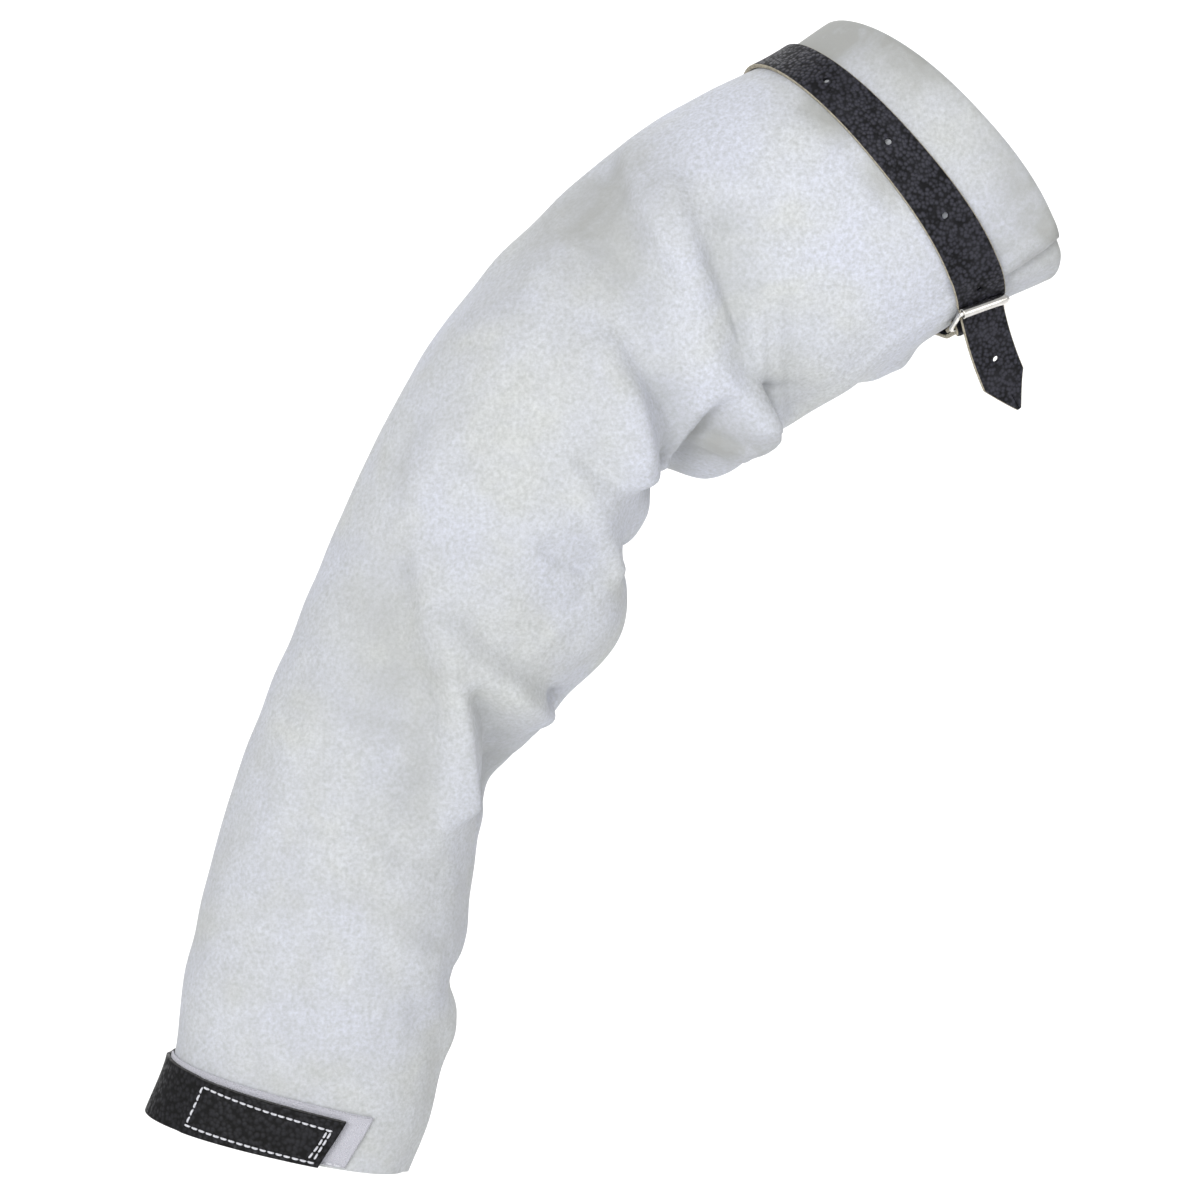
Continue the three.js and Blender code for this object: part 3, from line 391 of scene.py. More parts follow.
def make_mesh(name, points, faces):
    """A mesh of points in millimetres and lists of equal-sided faces, turned so that its closed
    volume, the sum of each fan's triple products, is positive."""
    points = np.asarray(points, float).reshape(-1, 3)
    faces = [np.asarray(f, int) for f in faces]
    volume = 0.0
    for f in faces:
        for k in range(1, f.shape[1] - 1):
            a, b, c = points[f[:, 0]], points[f[:, k]], points[f[:, k + 1]]
            volume += float((a * np.cross(b, c)).sum())
    if volume < 0:
        faces = [f[:, ::-1] for f in faces]
    loops = np.concatenate([f.ravel() for f in faces]).astype(np.int32)
    totals = np.concatenate([np.full(len(f), f.shape[1]) for f in faces]).astype(np.int32)
    mesh = bpy.data.meshes.new(name)
    mesh.vertices.add(len(points))
    mesh.vertices.foreach_set("co", (points * MM).astype(np.float32).ravel())
    mesh.loops.add(len(loops))
    mesh.loops.foreach_set("vertex_index", loops)
    mesh.polygons.add(len(totals))
    mesh.polygons.foreach_set("loop_start", np.concatenate([[0], np.cumsum(totals)[:-1]]).astype(np.int32))
    mesh.polygons.foreach_set("use_smooth", np.ones(len(totals), bool))
    mesh.update(calc_edges=True)
    mesh.validate()
    return mesh


def put(name, data):
    """An object of the scene at the origin."""
    made = bpy.data.objects.new(name, data)
    bpy.context.scene.collection.objects.link(made)
    return made


def make_piece(name, points, faces, finish, replaces=(), shares=None):
    """A finished piece that rides on the sleeve, with named shares stored at its points."""
    mesh = make_mesh(name, points, faces)
    for key, values in (shares or {}).items():
        layer = mesh.attributes.new(key, "FLOAT", "POINT")
        layer.data.foreach_set("value", np.asarray(values, np.float32).ravel())
    mesh.materials.append(finish)
    piece = put(name, mesh)
    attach(piece, "root")
    if replaces:
        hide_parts(*replaces)
    return piece


def cut_out(piece, points, faces):
    """Takes closed cutters away from a piece and keeps the result as its mesh."""
    cutter = put("cutter", make_mesh("cutter", points, faces))
    tool = piece.modifiers.new("cut", "BOOLEAN")
    tool.operation, tool.solver, tool.object = "DIFFERENCE", "EXACT", cutter
    bpy.context.view_layer.update()
    shown = piece.evaluated_get(bpy.context.evaluated_depsgraph_get())
    mesh = bpy.data.meshes.new_from_object(shown)
    piece.modifiers.clear()
    old, piece.data = piece.data, mesh
    mesh.name = piece.name
    bpy.data.meshes.remove(old)
    bpy.data.objects.remove(cutter)


def strip_section(thick, corner, across=14):
    """The outline of a flat strip's cross-section, anticlockwise: shares of its half width, insets
    from its edges and heights. Its four corners are rounded. Also how much each point is edge."""
    share = np.linspace(-1, 1, across)
    arc = np.linspace(0, np.pi / 2, 4)
    top, side = thick / 2, np.ones(4)
    s = np.concatenate([share, side, side, share[::-1], -side, -side])
    inset = np.concatenate([
        corner * np.ones(across), corner * (1 - np.sin(arc)), corner * (1 - np.cos(arc)),
        corner * np.ones(across), corner * (1 - np.sin(arc)), corner * (1 - np.cos(arc)),
    ])
    height = np.concatenate([
        top * np.ones(across), top - corner * (1 - np.cos(arc)), -top + corner * (1 - np.sin(arc)),
        -top * np.ones(across), -top + corner * (1 - np.cos(arc)), top - corner * (1 - np.sin(arc)),
    ])
    edge = np.concatenate([np.zeros(across), side, side, np.zeros(across), side, side])
    edge[[across, -1]] = 0.35
    return s, inset, height, edge


def stitch_points(centres, ways, normals, length, radius, rise):
    """Stitches of thread: each is a short bowed tube, a circle carried along its way, that rises
    off the leather by 1 minus the square of its place and thins at both ends. Shape (n, 7, 8, 3)."""
    place = np.linspace(-1, 1, 7)[None, :, None, None]
    spin = circle(8)[None, None, :, None]
    ways, normals = unit(ways)[:, None, None], unit(normals)[:, None, None]
    sides = np.cross(ways, normals)
    thin = radius * (1 - 0.7 * place**6)
    return (centres[:, None, None] + ways * place * length / 2 + normals * rise * (1 - 2 * place**2)
            + (np.cos(spin) * sides + np.sin(spin) * normals) * thin)


# Finishes

class Finish:
    """Builds one procedural material from nodes on Object coordinates."""

    def __init__(self, name):
        self.material = bpy.data.materials.new(name)
        self.material.use_nodes = True
        self.tree = self.material.node_tree
        self.shader = self.tree.nodes["Principled BSDF"]
        self.place = self.add("ShaderNodeTexCoord").outputs["Object"]

    def add(self, kind, **values):
        node = self.tree.nodes.new(kind)
        for key, value in values.items():
            setattr(node, key, value)
        return node

    def link(self, source, target):
        self.tree.links.new(source, target)

    def set(self, **values):
        for key, value in values.items():
            self.shader.inputs[key.replace("_", " ")].default_value = value

    def noise(self, size, detail=2.0, rough=0.5, distortion=0.0):
        """Noise whose features are about size metres."""
        node = self.add("ShaderNodeTexNoise")
        self.link(self.place, node.inputs["Vector"])
        node.inputs["Scale"].default_value = 1 / size
        node.inputs["Detail"].default_value = detail
        node.inputs["Roughness"].default_value = rough
        node.inputs["Distortion"].default_value = distortion
        return node.outputs["Fac"]

    def cells(self, size, feature="F1", smooth=0.0):
        """Cells of about size metres."""
        node = self.add("ShaderNodeTexVoronoi", feature=feature)
        self.link(self.place, node.inputs["Vector"])
        node.inputs["Scale"].default_value = 1 / size
        if feature == "SMOOTH_F1":
            node.inputs["Smoothness"].default_value = smooth
        return node.outputs["Distance"]

    def share(self, name):
        """A share that is stored at the piece's points."""
        return self.add("ShaderNodeAttribute", attribute_name=name).outputs["Fac"]

    def band(self, value, low, high, start=0.0, end=1.0):
        """Maps value from low..high to start..end, held at both ends."""
        node = self.add("ShaderNodeMapRange")
        self.link(value, node.inputs["Value"])
        for key, number in zip(("From Min", "From Max", "To Min", "To Max"), (low, high, start, end)):
            node.inputs[key].default_value = number
        return node.outputs["Result"]

    def maths(self, how, a, b):
        node = self.add("ShaderNodeMath", operation=how)
        for i, value in enumerate((a, b)):
            if isinstance(value, (int, float)):
                node.inputs[i].default_value = value
            else:
                self.link(value, node.inputs[i])
        return node.outputs[0]

    def mix(self, share, a, b):
        """Colour a turned into colour b by share."""
        node = self.add("ShaderNodeMix", data_type="RGBA")
        for index, value in ((0, share), (6, a), (7, b)):
            if isinstance(value, bpy.types.NodeSocket):
                self.link(value, node.inputs[index])
            elif index == 0:
                node.inputs[0].default_value = value
            else:
                node.inputs[index].default_value = (*value[:3], 1.0)
        return node.outputs[2]

    def bump(self, height, distance, strength, under=None):
        node = self.add("ShaderNodeBump")
        node.inputs["Distance"].default_value = distance
        node.inputs["Strength"].default_value = strength
        self.link(height, node.inputs["Height"])
        if under is not None:
            self.link(under, node.inputs["Normal"])
        return node.outputs["Normal"]

    def done(self, colour, rough, normal=None):
        self.link(colour, self.shader.inputs["Base Color"])
        self.link(rough, self.shader.inputs["Roughness"])
        if normal is not None:
            self.link(normal, self.shader.inputs["Normal"])
        return self.material


def suede_finish(look):
    """Brushed split leather: a cool pale grey with greener clouds, a speckled nap, and painted shade in the
    hollows; soil and painted shade at listed places; the raw cut edges are greyer."""
    f = Finish("suede")
    f.set(Specular_IOR_Level=0.12, Sheen_Weight=0.12, Sheen_Roughness=0.6)
    clouds = f.band(f.noise(0.060, 3, 0.55, 0.4), 0.40, 0.62)
    patches = f.band(f.noise(0.016, 3, 0.6, 0.2), 0.36, 0.66)
    specks = f.band(f.noise(0.0016, 3, 0.65), 0.30, 0.70)
    pores = f.band(f.cells(0.0030), 0.0, 0.45)
    colour = f.mix(clouds, look.cool, look.warm)
    colour = f.mix(f.band(patches, 0, 1, 0.0, 0.35), colour, look.cool)
    colour = f.mix(f.band(specks, 0, 1, look.speckle, 0.0), colour, look.grime_and_shade)
    colour = f.mix(f.band(pores, 0, 1, look.speckle * 0.5, 0.0), colour, look.grime_and_shade)
    # painted shade: the folds' hollows, and the inner wall more, are darkened by the depth of the fold
    hollow = f.maths("MULTIPLY", f.share("hollow"), f.band(patches, 0, 1, 0.5, 1.0))
    colour = f.mix(f.maths("MULTIPLY", hollow, look.hollow_shade), colour, look.grime_and_shade)
    # the stored soil and painted shade darken the suede towards an olive grey, broken up by noise
    soil_and_shade = f.maths("MULTIPLY", f.share("soil_and_shade"), f.band(f.noise(0.022, 4, 0.6, 0.5), 0.35, 0.65, 0.65, 1.25))
    colour = f.mix(f.maths("MULTIPLY", soil_and_shade, look.soil_and_shade_share), colour, look.soil_and_shade)
    colour = f.mix(f.maths("MULTIPLY", f.share("edge"), 0.6), colour, look.cut_edge)
    nap = f.bump(f.noise(0.0011, 4, 0.7), look.nap, 0.55)
    nap = f.bump(f.noise(0.0045, 3, 0.6, 0.6), look.nap * 2.5, 0.35, nap)
    rough = f.band(specks, 0, 1, 0.86, 0.98)
    return f.done(colour, rough, nap)


def grain_leather(name, look):
    """Pebbled finished leather: small smooth-topped cells with dark valleys, worn shine on the
    tops, and a raw cut edge in tan. The tops' lighter colour is partly a painted highlight."""
    f = Finish(name)
    f.set(Specular_IOR_Level=0.20)
    pebbles = f.cells(look.pebble)
    wander = f.noise(look.pebble * 1.6, 3, 0.6)
    # the pebbles' tops get a lighter colour than the valleys: partly the grain's own tone, partly a painted
    # highlight
    tops = f.band(f.maths("ADD", pebbles, f.maths("MULTIPLY", wander, 0.30)), 0.38, 0.86, 1.0, 0.0)
    wear = f.band(f.noise(0.012, 3, 0.6), 0.42, 0.70)
    colour = f.mix(tops, look.valley, look.leather)
    colour = f.mix(f.maths("MULTIPLY", wear, 0.22), colour, look.worn)
    fray = f.band(f.noise(0.0012, 3, 0.6), 0.35, 0.60)
    raw = f.maths("MULTIPLY", f.share("edge"), f.band(fray, 0, 1, 0.55, 1.0))
    colour = f.mix(raw, colour, look.raw_edge)
    rough = f.band(tops, 0, 1, 0.72, 0.40)
    normal = f.bump(tops, 0.00028, 0.75)
    normal = f.bump(f.noise(0.0005, 3, 0.6), 0.00006, 0.4, normal)
    return f.done(colour, rough, normal)


def nickel_finish(look):
    """Plated wire: bright, with faint draw marks and slightly duller patches."""
    f = Finish("nickel")
    f.set(Metallic=1.0)
    patches = f.band(f.noise(0.004, 3, 0.6), 0.35, 0.68)
    colour = f.mix(patches, look.nickel, look.nickel_shade)
    rough = f.band(patches, 0, 1, 0.13, 0.26)
    return f.done(colour, rough, f.bump(f.noise(0.0007, 3, 0.6), 0.00003, 0.35))


def pile_finish(name, base, shade, size):
    """Woven tape with a pile of loops or hooks: fine tufts over a slightly uneven ground."""
    f = Finish(name)
    f.set(Specular_IOR_Level=0.25, Sheen_Weight=0.3, Sheen_Roughness=0.5)
    tufts = f.band(f.cells(size, "SMOOTH_F1", 0.2), 0.1, 0.6, 1.0, 0.0)
    cloud = f.band(f.noise(0.006, 3, 0.6), 0.35, 0.65)
    colour = f.mix(tufts, shade, base)
    colour = f.mix(f.maths("MULTIPLY", cloud, 0.3), colour, shade)
    return f.done(colour, f.band(tufts, 0, 1, 0.95, 0.75), f.bump(tufts, 0.0004, 0.8))


def thread_finish(name, colour, shade):
    """Twisted sewing thread, with its plies as fine diagonal bands."""
    f = Finish(name)
    f.set(Specular_IOR_Level=0.3, Sheen_Weight=0.25)
    plies = f.band(f.noise(0.0005, 2, 0.5, 1.0), 0.35, 0.65)
    return f.done(f.mix(plies, shade, colour), f.band(plies, 0, 1, 0.85, 0.6), f.bump(plies, 0.00008, 0.6))


# Settings

def colour_setting(name, default, description):
    return bpy.props.FloatVectorProperty(
        name=name, description=description, subtype="COLOR", size=3, min=0, max=1, default=default)


def share_setting(name, default, description):
    return bpy.props.FloatProperty(
        name=name, description=description, subtype="FACTOR", min=0, max=1, default=default)


def power_setting(name, default, description):
    return bpy.props.FloatProperty(name=name, description=description, unit="POWER", min=0, default=default)


def size_setting(name, default, description):
    return bpy.props.FloatProperty(
        name=name, description=description, unit="LENGTH", subtype="DISTANCE", min=0, precision=5,
        default=default)


class SleeveSettings(bpy.types.PropertyGroup):
    """Sizes and colours of the sleeve's split leather."""
    wall: size_setting("Wall", 0.0015, "Thickness of the split leather")
    lap_width: size_setting("Lap width", 0.010, "Overlap of the front panel over the back panel")
    lap_run: size_setting("Lap run", 0.008, "Length over which the overlap levels out")
    nap: size_setting("Nap", 0.00022, "Depth of the brushed nap")
    speckle: share_setting("Speckle", 0.60, "How strongly the nap is speckled")
    # how strongly shade is painted into the folds' hollows
    hollow_shade: share_setting("Hollow grime", 0.60, "Grime in the folds' hollows")
    # soil and the painted shade under the strap and round the rim use this share and the olive grey below
    soil_and_shade_share: share_setting("Soil share", 0.75, "How strongly the soiled places show")
    soil_and_shade: colour_setting("Soil_and_shade", (0.335, 0.340, 0.330), "The olive grey of soiled places")
    cool: colour_setting("Cool grey", (0.612, 0.634, 0.725), "The leather's main colour")
    warm: colour_setting("Warm grey", (0.602, 0.618, 0.620), "The greener clouds in the leather")
    # the speckles' colour, which also paints the shade in the hollows
    grime_and_shade: colour_setting("Grime_and_shade", (0.330, 0.340, 0.335), "The speckles and the hollows' grime")
    cut_edge: colour_setting("Cut edge", (0.470, 0.480, 0.480), "The raw cut edges of the panels")


class StrapSettings(bpy.types.PropertyGroup):
    """Sizes and colours of the strap."""
    width: size_setting("Width", 0.021, "Width of the strap")
    thick: size_setting("Thickness", 0.0020, "Thickness of the strap")
    hole_radius: size_setting("Hole radius", 0.0015, "Radius of the strap's round holes")
    hole_pitch: size_setting("Hole pitch", 0.040, "Distance between the holes")
    hole_start: size_setting("First hole", 0.027, "Distance from the strap's point to its first hole")
    hole_count: bpy.props.IntProperty(name="Holes", description="Number of holes", min=0, max=9, default=5)
    tail: size_setting("Tail", 0.054, "Length of the free end past the roller")
    pebble: size_setting("Pebbles", 0.0017, "Size of the leather's pebbles")
    # the strap's pebble tops: lighter partly as a painted highlight
    leather: colour_setting("Leather", (0.029, 0.029, 0.040), "The pebbles' tops")
    valley: colour_setting("Valleys", (0.002, 0.002, 0.003), "Between the pebbles")
    worn: colour_setting("Worn", (0.050, 0.050, 0.062), "Where the finish is rubbed")
    raw_edge: colour_setting("Raw edge", (0.42, 0.38, 0.29), "The strap's cut edges")


class BuckleSettings(bpy.types.PropertyGroup):
    """Sizes and colours of the roller buckle."""
    roller_length: size_setting("Roller length", 0.0214, "Length of the roller")
    roller_radius: size_setting("Roller radius", 0.0024, "Radius of the roller")
    bar: size_setting("Bar", 0.0020, "Thickness of the frame's bars")
    span: size_setting("Span", 0.018, "From the roller's axis to the heel bar's axis")
    prong_radius: size_setting("Prong radius", 0.0010, "Radius of the prong's wire")
    prong_length: size_setting("Prong length", 0.017, "Length of the prong")
    nickel: colour_setting("Nickel", (0.80, 0.785, 0.76), "The plating")
    nickel_shade: colour_setting("Dull nickel", (0.66, 0.64, 0.60), "Duller patches of the plating")


class WristSettings(bpy.types.PropertyGroup):
    """Sizes and colours of the wrist tab, its patches and its stitches."""
    tab_thick: size_setting("Tab thickness", 0.0018, "Thickness of the tab's leather")
    patch_thick: size_setting("Patch thickness", 0.0010, "Thickness of the hook and loop patches")
    thread: size_setting("Thread", 0.00048, "Radius of the sewing thread")
    stitch: size_setting("Stitch", 0.0031, "Length of a stitch")
    stitch_gap: size_setting("Stitch gap", 0.0005, "Gap between stitches")
    pebble: size_setting("Pebbles", 0.0020, "Size of the tab leather's pebbles")
    # the tab's pebble tops: lighter partly as a painted highlight
    leather: colour_setting("Leather", (0.013, 0.013, 0.016), "The tab leather's pebble tops")
    valley: colour_setting("Valleys", (0.002, 0.002, 0.002), "Between the pebbles")
    worn: colour_setting("Worn", (0.013, 0.013, 0.016), "Where the finish is rubbed")
    raw_edge: colour_setting("Raw edge", (0.060, 0.058, 0.056), "The tab's cut edges")
    thread_colour: colour_setting("Thread colour", (0.74, 0.75, 0.78), "The white thread")
    loops: colour_setting("Loops", (0.585, 0.580, 0.630), "The loop patch")
    loops_shade: colour_setting("Loops' shade", (0.45, 0.45, 0.50), "Between the loops")
    hooks: colour_setting("Hooks", (0.34, 0.34, 0.36), "The hook patch")


class StageSettings(bpy.types.PropertyGroup):
    """The pale floor, the lights and the camera's distance."""
    floor: colour_setting("Floor", (0.93, 0.93, 0.93), "The plain pale floor")
    floor_drop: size_setting("Floor drop", 0.62, "How far the floor lies under the strap")
    distance: size_setting("Camera distance", 1.25, "From the camera to the sleeve's middle plane")
    frame_width: size_setting("Frame width", 0.540, "Width of the view at that plane")
    sky: bpy.props.FloatProperty(name="Sky", description="Strength of the even light", min=0, default=0.54)
    key: power_setting("Key light", 25, "Power of the key light")
    backdrop: power_setting("Backdrop light", 55, "Power of the backdrop's light")
    fill: power_setting("Fill light", 9, "Power of the fill light")


# The strap's and the buckle's places, in millimetres

ROLLER_ANGLE = math.radians(66)
STRAP_JOIN_ANGLE = math.radians(-120)
BUCKLE_TURN = math.radians(13)
TAIL_BEND = math.radians(50)
TAIL_SWING = math.radians(18)
TURN_RUN = math.radians(30)
POINT_LENGTH = 15.5
POINT_WIDTH = 2.4
FOLD_BACK = 14.0
HEEL_EASE = 0.9
PRONG_SLOT = 4.4
TAIL_CURL = 1.2
PRONG_HOOK = math.radians(265)


def strap_along(angle):
    return STRAP_ALONG + STRAP_BOW * np.cos(angle)


def lifted(along, angle, height):
    """A point over the unfolded tube at a height over the leather's middle."""
    point, _, _, normal = tube_frame(along, angle)
    return point + normal * np.asarray(height)[..., None]


class StrapRoute:
    """Where the strap and the buckle lie. The strap follows the tube at its seat's height; the
    buckle's axes are across, ahead and up, with its roller over the strap."""

    def __init__(self, sleeve, strap, metal):
        self.wall, self.lap = sleeve.wall / MM, (sleeve.lap_width / MM, sleeve.lap_run / MM)
        self.thick, self.half = strap.thick / MM, strap.width / MM / 2
        self.tail_length = strap.tail / MM
        bar = metal.bar / MM
        self.seat = self.wall / 2 + GAP + self.thick / 2
        self.loop_radius = bar / 2 * math.sqrt(2) + GAP + self.thick / 2
        self.pass_radius = metal.roller_radius / MM + GAP + self.thick / 2
        self.bend_length = TAIL_BEND * self.pass_radius
        self.tail_path = self.bend_length + self.tail_length
        seat = self.seat + self.ride(ROLLER_ANGLE)
        ends = self.line(np.array([ROLLER_ANGLE]), np.array([-self.half, 0, self.half]),
                         np.array([seat]), np.array([BUCKLE_TURN]))[0][0]
        self.across = unit(ends[2] - ends[0])
        normal = tube_frame(strap_along(ROLLER_ANGLE), ROLLER_ANGLE)[3]
        self.roller = ends[1] + normal * self.pass_radius
        span, height = metal.span / MM, self.seat + self.loop_radius + HEEL_EASE
        near, far = ROLLER_ANGLE, ROLLER_ANGLE + math.pi / 3
        for _ in range(40):
            middle = (near + far) / 2
            place = lifted(strap_along(middle), middle, height)
            if np.linalg.norm(place - self.roller) < span:
                near = middle
            else:
                far = middle
        self.heel_angle = near
        ahead = lifted(strap_along(near), near, height) - self.roller
        self.ahead = unit(ahead - self.across * dot(ahead, self.across))
        up = unit(np.cross(self.across, self.ahead))
        self.up = up if float(dot(up, normal)) > 0 else -up
        self.heel = self.roller + self.ahead * span

    def ride(self, angle):
        return ride_over(strap_along(angle), angle, self.wall, *self.lap)

    def line(self, angle, offsets, height, turn):
        """Cross lines of the strap: points at offsets across it, turned on the sleeve by turn."""
        along = strap_along(angle)
        step = 1e-3
        moved = tube_point(along, angle + step) - tube_point(along, angle - step)
        speed = np.linalg.norm(moved, axis=-1) / (2 * step)
        a = along[:, None] + offsets * np.cos(turn)[:, None] / LENGTH
        b = angle[:, None] + offsets * np.sin(turn)[:, None] / speed[:, None]
        points = lifted(a, b, np.broadcast_to(height[:, None], a.shape))
        return points, tube_frame(along, angle)[3]

    def in_buckle(self, points, origin):
        """Turns points given as across, ahead and up into their places."""
        return origin + points @ np.stack([self.across, self.ahead, self.up])

    def tail(self, distance):
        """The tail bends out round the roller's inner side, then swings sideways to the rim by an
        angle that grows with the distance."""
        swept = np.minimum(distance / self.bend_length, 1)[:, None] * TAIL_BEND
        radial = self.ahead * np.sin(swept) - self.up * np.cos(swept)
        run = self.ahead * np.cos(swept) + self.up * np.sin(swept)
        past = np.maximum(distance - self.bend_length, 0)[:, None]
        swing = TAIL_SWING * past / self.tail_length
        point = self.roller + radial * self.pass_radius + run * past + self.across * past * swing / 2
        return point, -radial, self.across * np.cos(swing) - run * np.sin(swing)

    def band(self, angle, section, height, turn):
        """Strip points at angles: the section's points across the strap, raised by its heights."""
        s, inset, lift, _ = section
        points, normal = self.line(angle, s * self.half - np.sign(s) * inset, height, turn)
        return points + normal[:, None] * lift[:, None]

    def marks(self):
        """Middle points of the strap from its point backwards, with distances, for the holes."""
        away = np.arange(self.tail_path, 0, -0.5)
        tail, normal, _ = self.tail(away)
        angle = np.linspace(ROLLER_ANGLE, STRAP_JOIN_ANGLE, 400)
        points, over = self.line(angle, np.zeros(1), self.seat + self.ride(angle), np.zeros(400))
        points = np.concatenate([tail, points[:, 0]])
        steps = np.linalg.norm(np.diff(points, axis=0), axis=-1)
        return points, np.concatenate([normal, over]), np.concatenate([[0], np.cumsum(steps)])


def upper_strap_points(route, section):
    """The strap from its sewn end round the front to the roller, then its tail to the point."""
    s, inset, lift, _ = section
    angle = np.linspace(STRAP_JOIN_ANGLE, ROLLER_ANGLE, 190)
    turn = BUCKLE_TURN * smoothstep(angle, ROLLER_ANGLE - TURN_RUN, ROLLER_ANGLE)
    body = route.band(angle, section, route.seat + route.ride(angle), turn)
    shoulder = route.tail_path - POINT_LENGTH
    distance = np.concatenate([
        np.linspace(0, route.bend_length, 12)[1:], np.linspace(route.bend_length, shoulder, 30)[1:],
        np.linspace(shoulder, route.tail_path, 16)[1:],
    ])
    centre, normal, across = route.tail(distance)
    left = np.clip((route.tail_path - distance) / POINT_LENGTH, 0, 1)
    half = (POINT_WIDTH / 2 + (route.half - POINT_WIDTH / 2) * left)[:, None]
    curl = TAIL_CURL * smoothstep(distance, shoulder, route.tail_path)[:, None]
    offset = (s * half - np.sign(s) * np.minimum(inset, half * 0.5))[..., None]
    tail = centre[:, None] + across[:, None] * offset + normal[:, None] * (lift + curl)[..., None]
    return np.concatenate([body, tail])


def back_strap_points(route, section):
    """The strap from its sewn end round the back to the heel bar, round it and back under itself."""
    s, inset, lift, _ = section
    start = STRAP_JOIN_ANGLE + 2 * math.pi - 2 * GAP / ROUND
    angle = np.linspace(start, route.heel_angle, 130)[:-1]
    away = (angle - route.heel_angle) * ROUND
    doubled = route.thick + GAP
    rise = (doubled * (1 - smoothstep(away, FOLD_BACK + route.thick, FOLD_BACK * 2))
            + (2 * route.loop_radius - doubled) * (1 - smoothstep(away, 0, FOLD_BACK * 0.6)))
    turn = BUCKLE_TURN * (1 - smoothstep(away, 0, FOLD_BACK * 3))
    body = route.band(angle, section, route.seat + rise + route.ride(angle), turn)
    normal = tube_frame(strap_along(route.heel_angle), route.heel_angle)[3]
    out = unit(normal - route.across * dot(normal, route.across))
    onward = unit(np.cross(route.across, out))
    onward = onward if float(dot(onward, route.ahead)) > 0 else -onward
    swept = np.linspace(0, math.pi, 17)[:, None]
    radial = out * np.cos(swept) - onward * np.sin(swept)
    offset = (s * route.half - np.sign(s) * inset)[..., None]
    loop = ((route.heel + radial * route.loop_radius)[:, None] + route.across * offset
            + radial[:, None] * lift[..., None])
    angle = np.linspace(route.heel_angle, route.heel_angle + FOLD_BACK / ROUND, 9)[1:]
    under, normal = route.line(angle, s * route.half - np.sign(s) * inset,
                               np.full(len(angle), route.seat), np.full(len(angle), BUCKLE_TURN))
    under = under - normal[:, None] * lift[:, None]
    return np.concatenate([body, loop, under])


def disc_cutters(centres, normals, radius, depth, sides=28):
    """Closed cylinders along the normals."""
    spin = circle(sides)[None, :, None]
    side = unit(np.cross(normals, [0.3, 1.0, 0.2]))[:, None]
    other = np.cross(normals[:, None], side)
    ring = centres[:, None] + (np.cos(spin) * side + np.sin(spin) * other) * radius
    reach = normals[:, None] * depth
    return np.stack([ring - reach, ring + reach], 1)


# Operators

VIEW_CENTRE = (-0.1224, 0.0, -0.1845)


def settings(context):
    return context.scene.welding_sleeve


class WELDING_SLEEVE_OT_body(bpy.types.Operator):
    """Make the folded split-leather sleeve with its lapped seam"""
    bl_idname = "welding_sleeve.body"
    bl_label = "Sleeve"

    def execute(self, context):
        look = settings(context).sleeve
        wall, lap_width, lap_run = look.wall / MM, look.lap_width / MM, look.lap_run / MM
        rows = spread([(0.0, 0.30, 60), (0.30, 0.80, 180), (0.80, 1.0, 50)])
        turn = 2 * np.pi * ROUND
        away = np.concatenate([
            [0.0, 0.02, 0.10, 0.40], np.linspace(1.2, turn * 0.5, 96),
            np.linspace(turn * 0.5, turn - 1.6, 62)[1:],
        ])
        level = 1 - smoothstep(away[4:], lap_width, lap_width + lap_run)
        rise = np.concatenate([[0.0, 0.75, 0.93, 1.0], level])
        along, off = np.meshgrid(rows, away, indexing="ij")
        angle = np.radians(seam_angle(along)) - off / ROUND
        point, normal = folded_frame(edge_share(along, angle), angle, NORMAL_REACH * wall)
        outer = point + normal * (wall / 2 + wall * rise)[..., None]
        inner = point - normal * wall / 2
        mid = lambda i, k: inner[i] + (outer[i] - inner[i]) * k
        out = lambda i: unit(point[i] - point[i - 1 if i else 1]) * 0.25
        rim = [mid(-1, k) + out(-1) for k in (0.82, 0.18)]
        cuff = [mid(0, k) + out(0) for k in (0.18, 0.82)]
        points = np.concatenate([outer, rim, inner[::-1], cuff])
        # painted shade: darkness by the depth of each fold's hollow, with the inner wall darker still
        height, _, _ = fold_at(along, angle, ALL_FOLDS)
        hollow = np.clip(-height / HOLLOW_DEPTH, 0, 1)
        end = np.zeros((2, len(away)))
        hollow = np.concatenate([hollow, end, hollow[::-1] + 0.2, end])
        # soil and painted shade, from the table of darker places
        soil_and_shade = soiled_and_shaded(along, angle)
        soil_and_shade = np.concatenate([soil_and_shade, soil_and_shade[-1:], soil_and_shade[-1:], soil_and_shade[::-1], soil_and_shade[:1], soil_and_shade[:1]])
        edge = np.zeros(hollow.shape)
        edge[:len(rows), :3] = 1
        edge[len(rows):len(rows) + 2] = 1
        edge[-2:] = 1
        shares = {"hollow": hollow, "edge": edge, "soil_and_shade": soil_and_shade}
        finish = suede_finish(look)
        piece = make_piece("sleeve", points, ring_faces(points), finish, ["sleeve_body"], shares)
        if len(piece.data.polygons) < LEAST_FACES:
            raise RuntimeError("the sleeve has no faces")
        return {"FINISHED"}


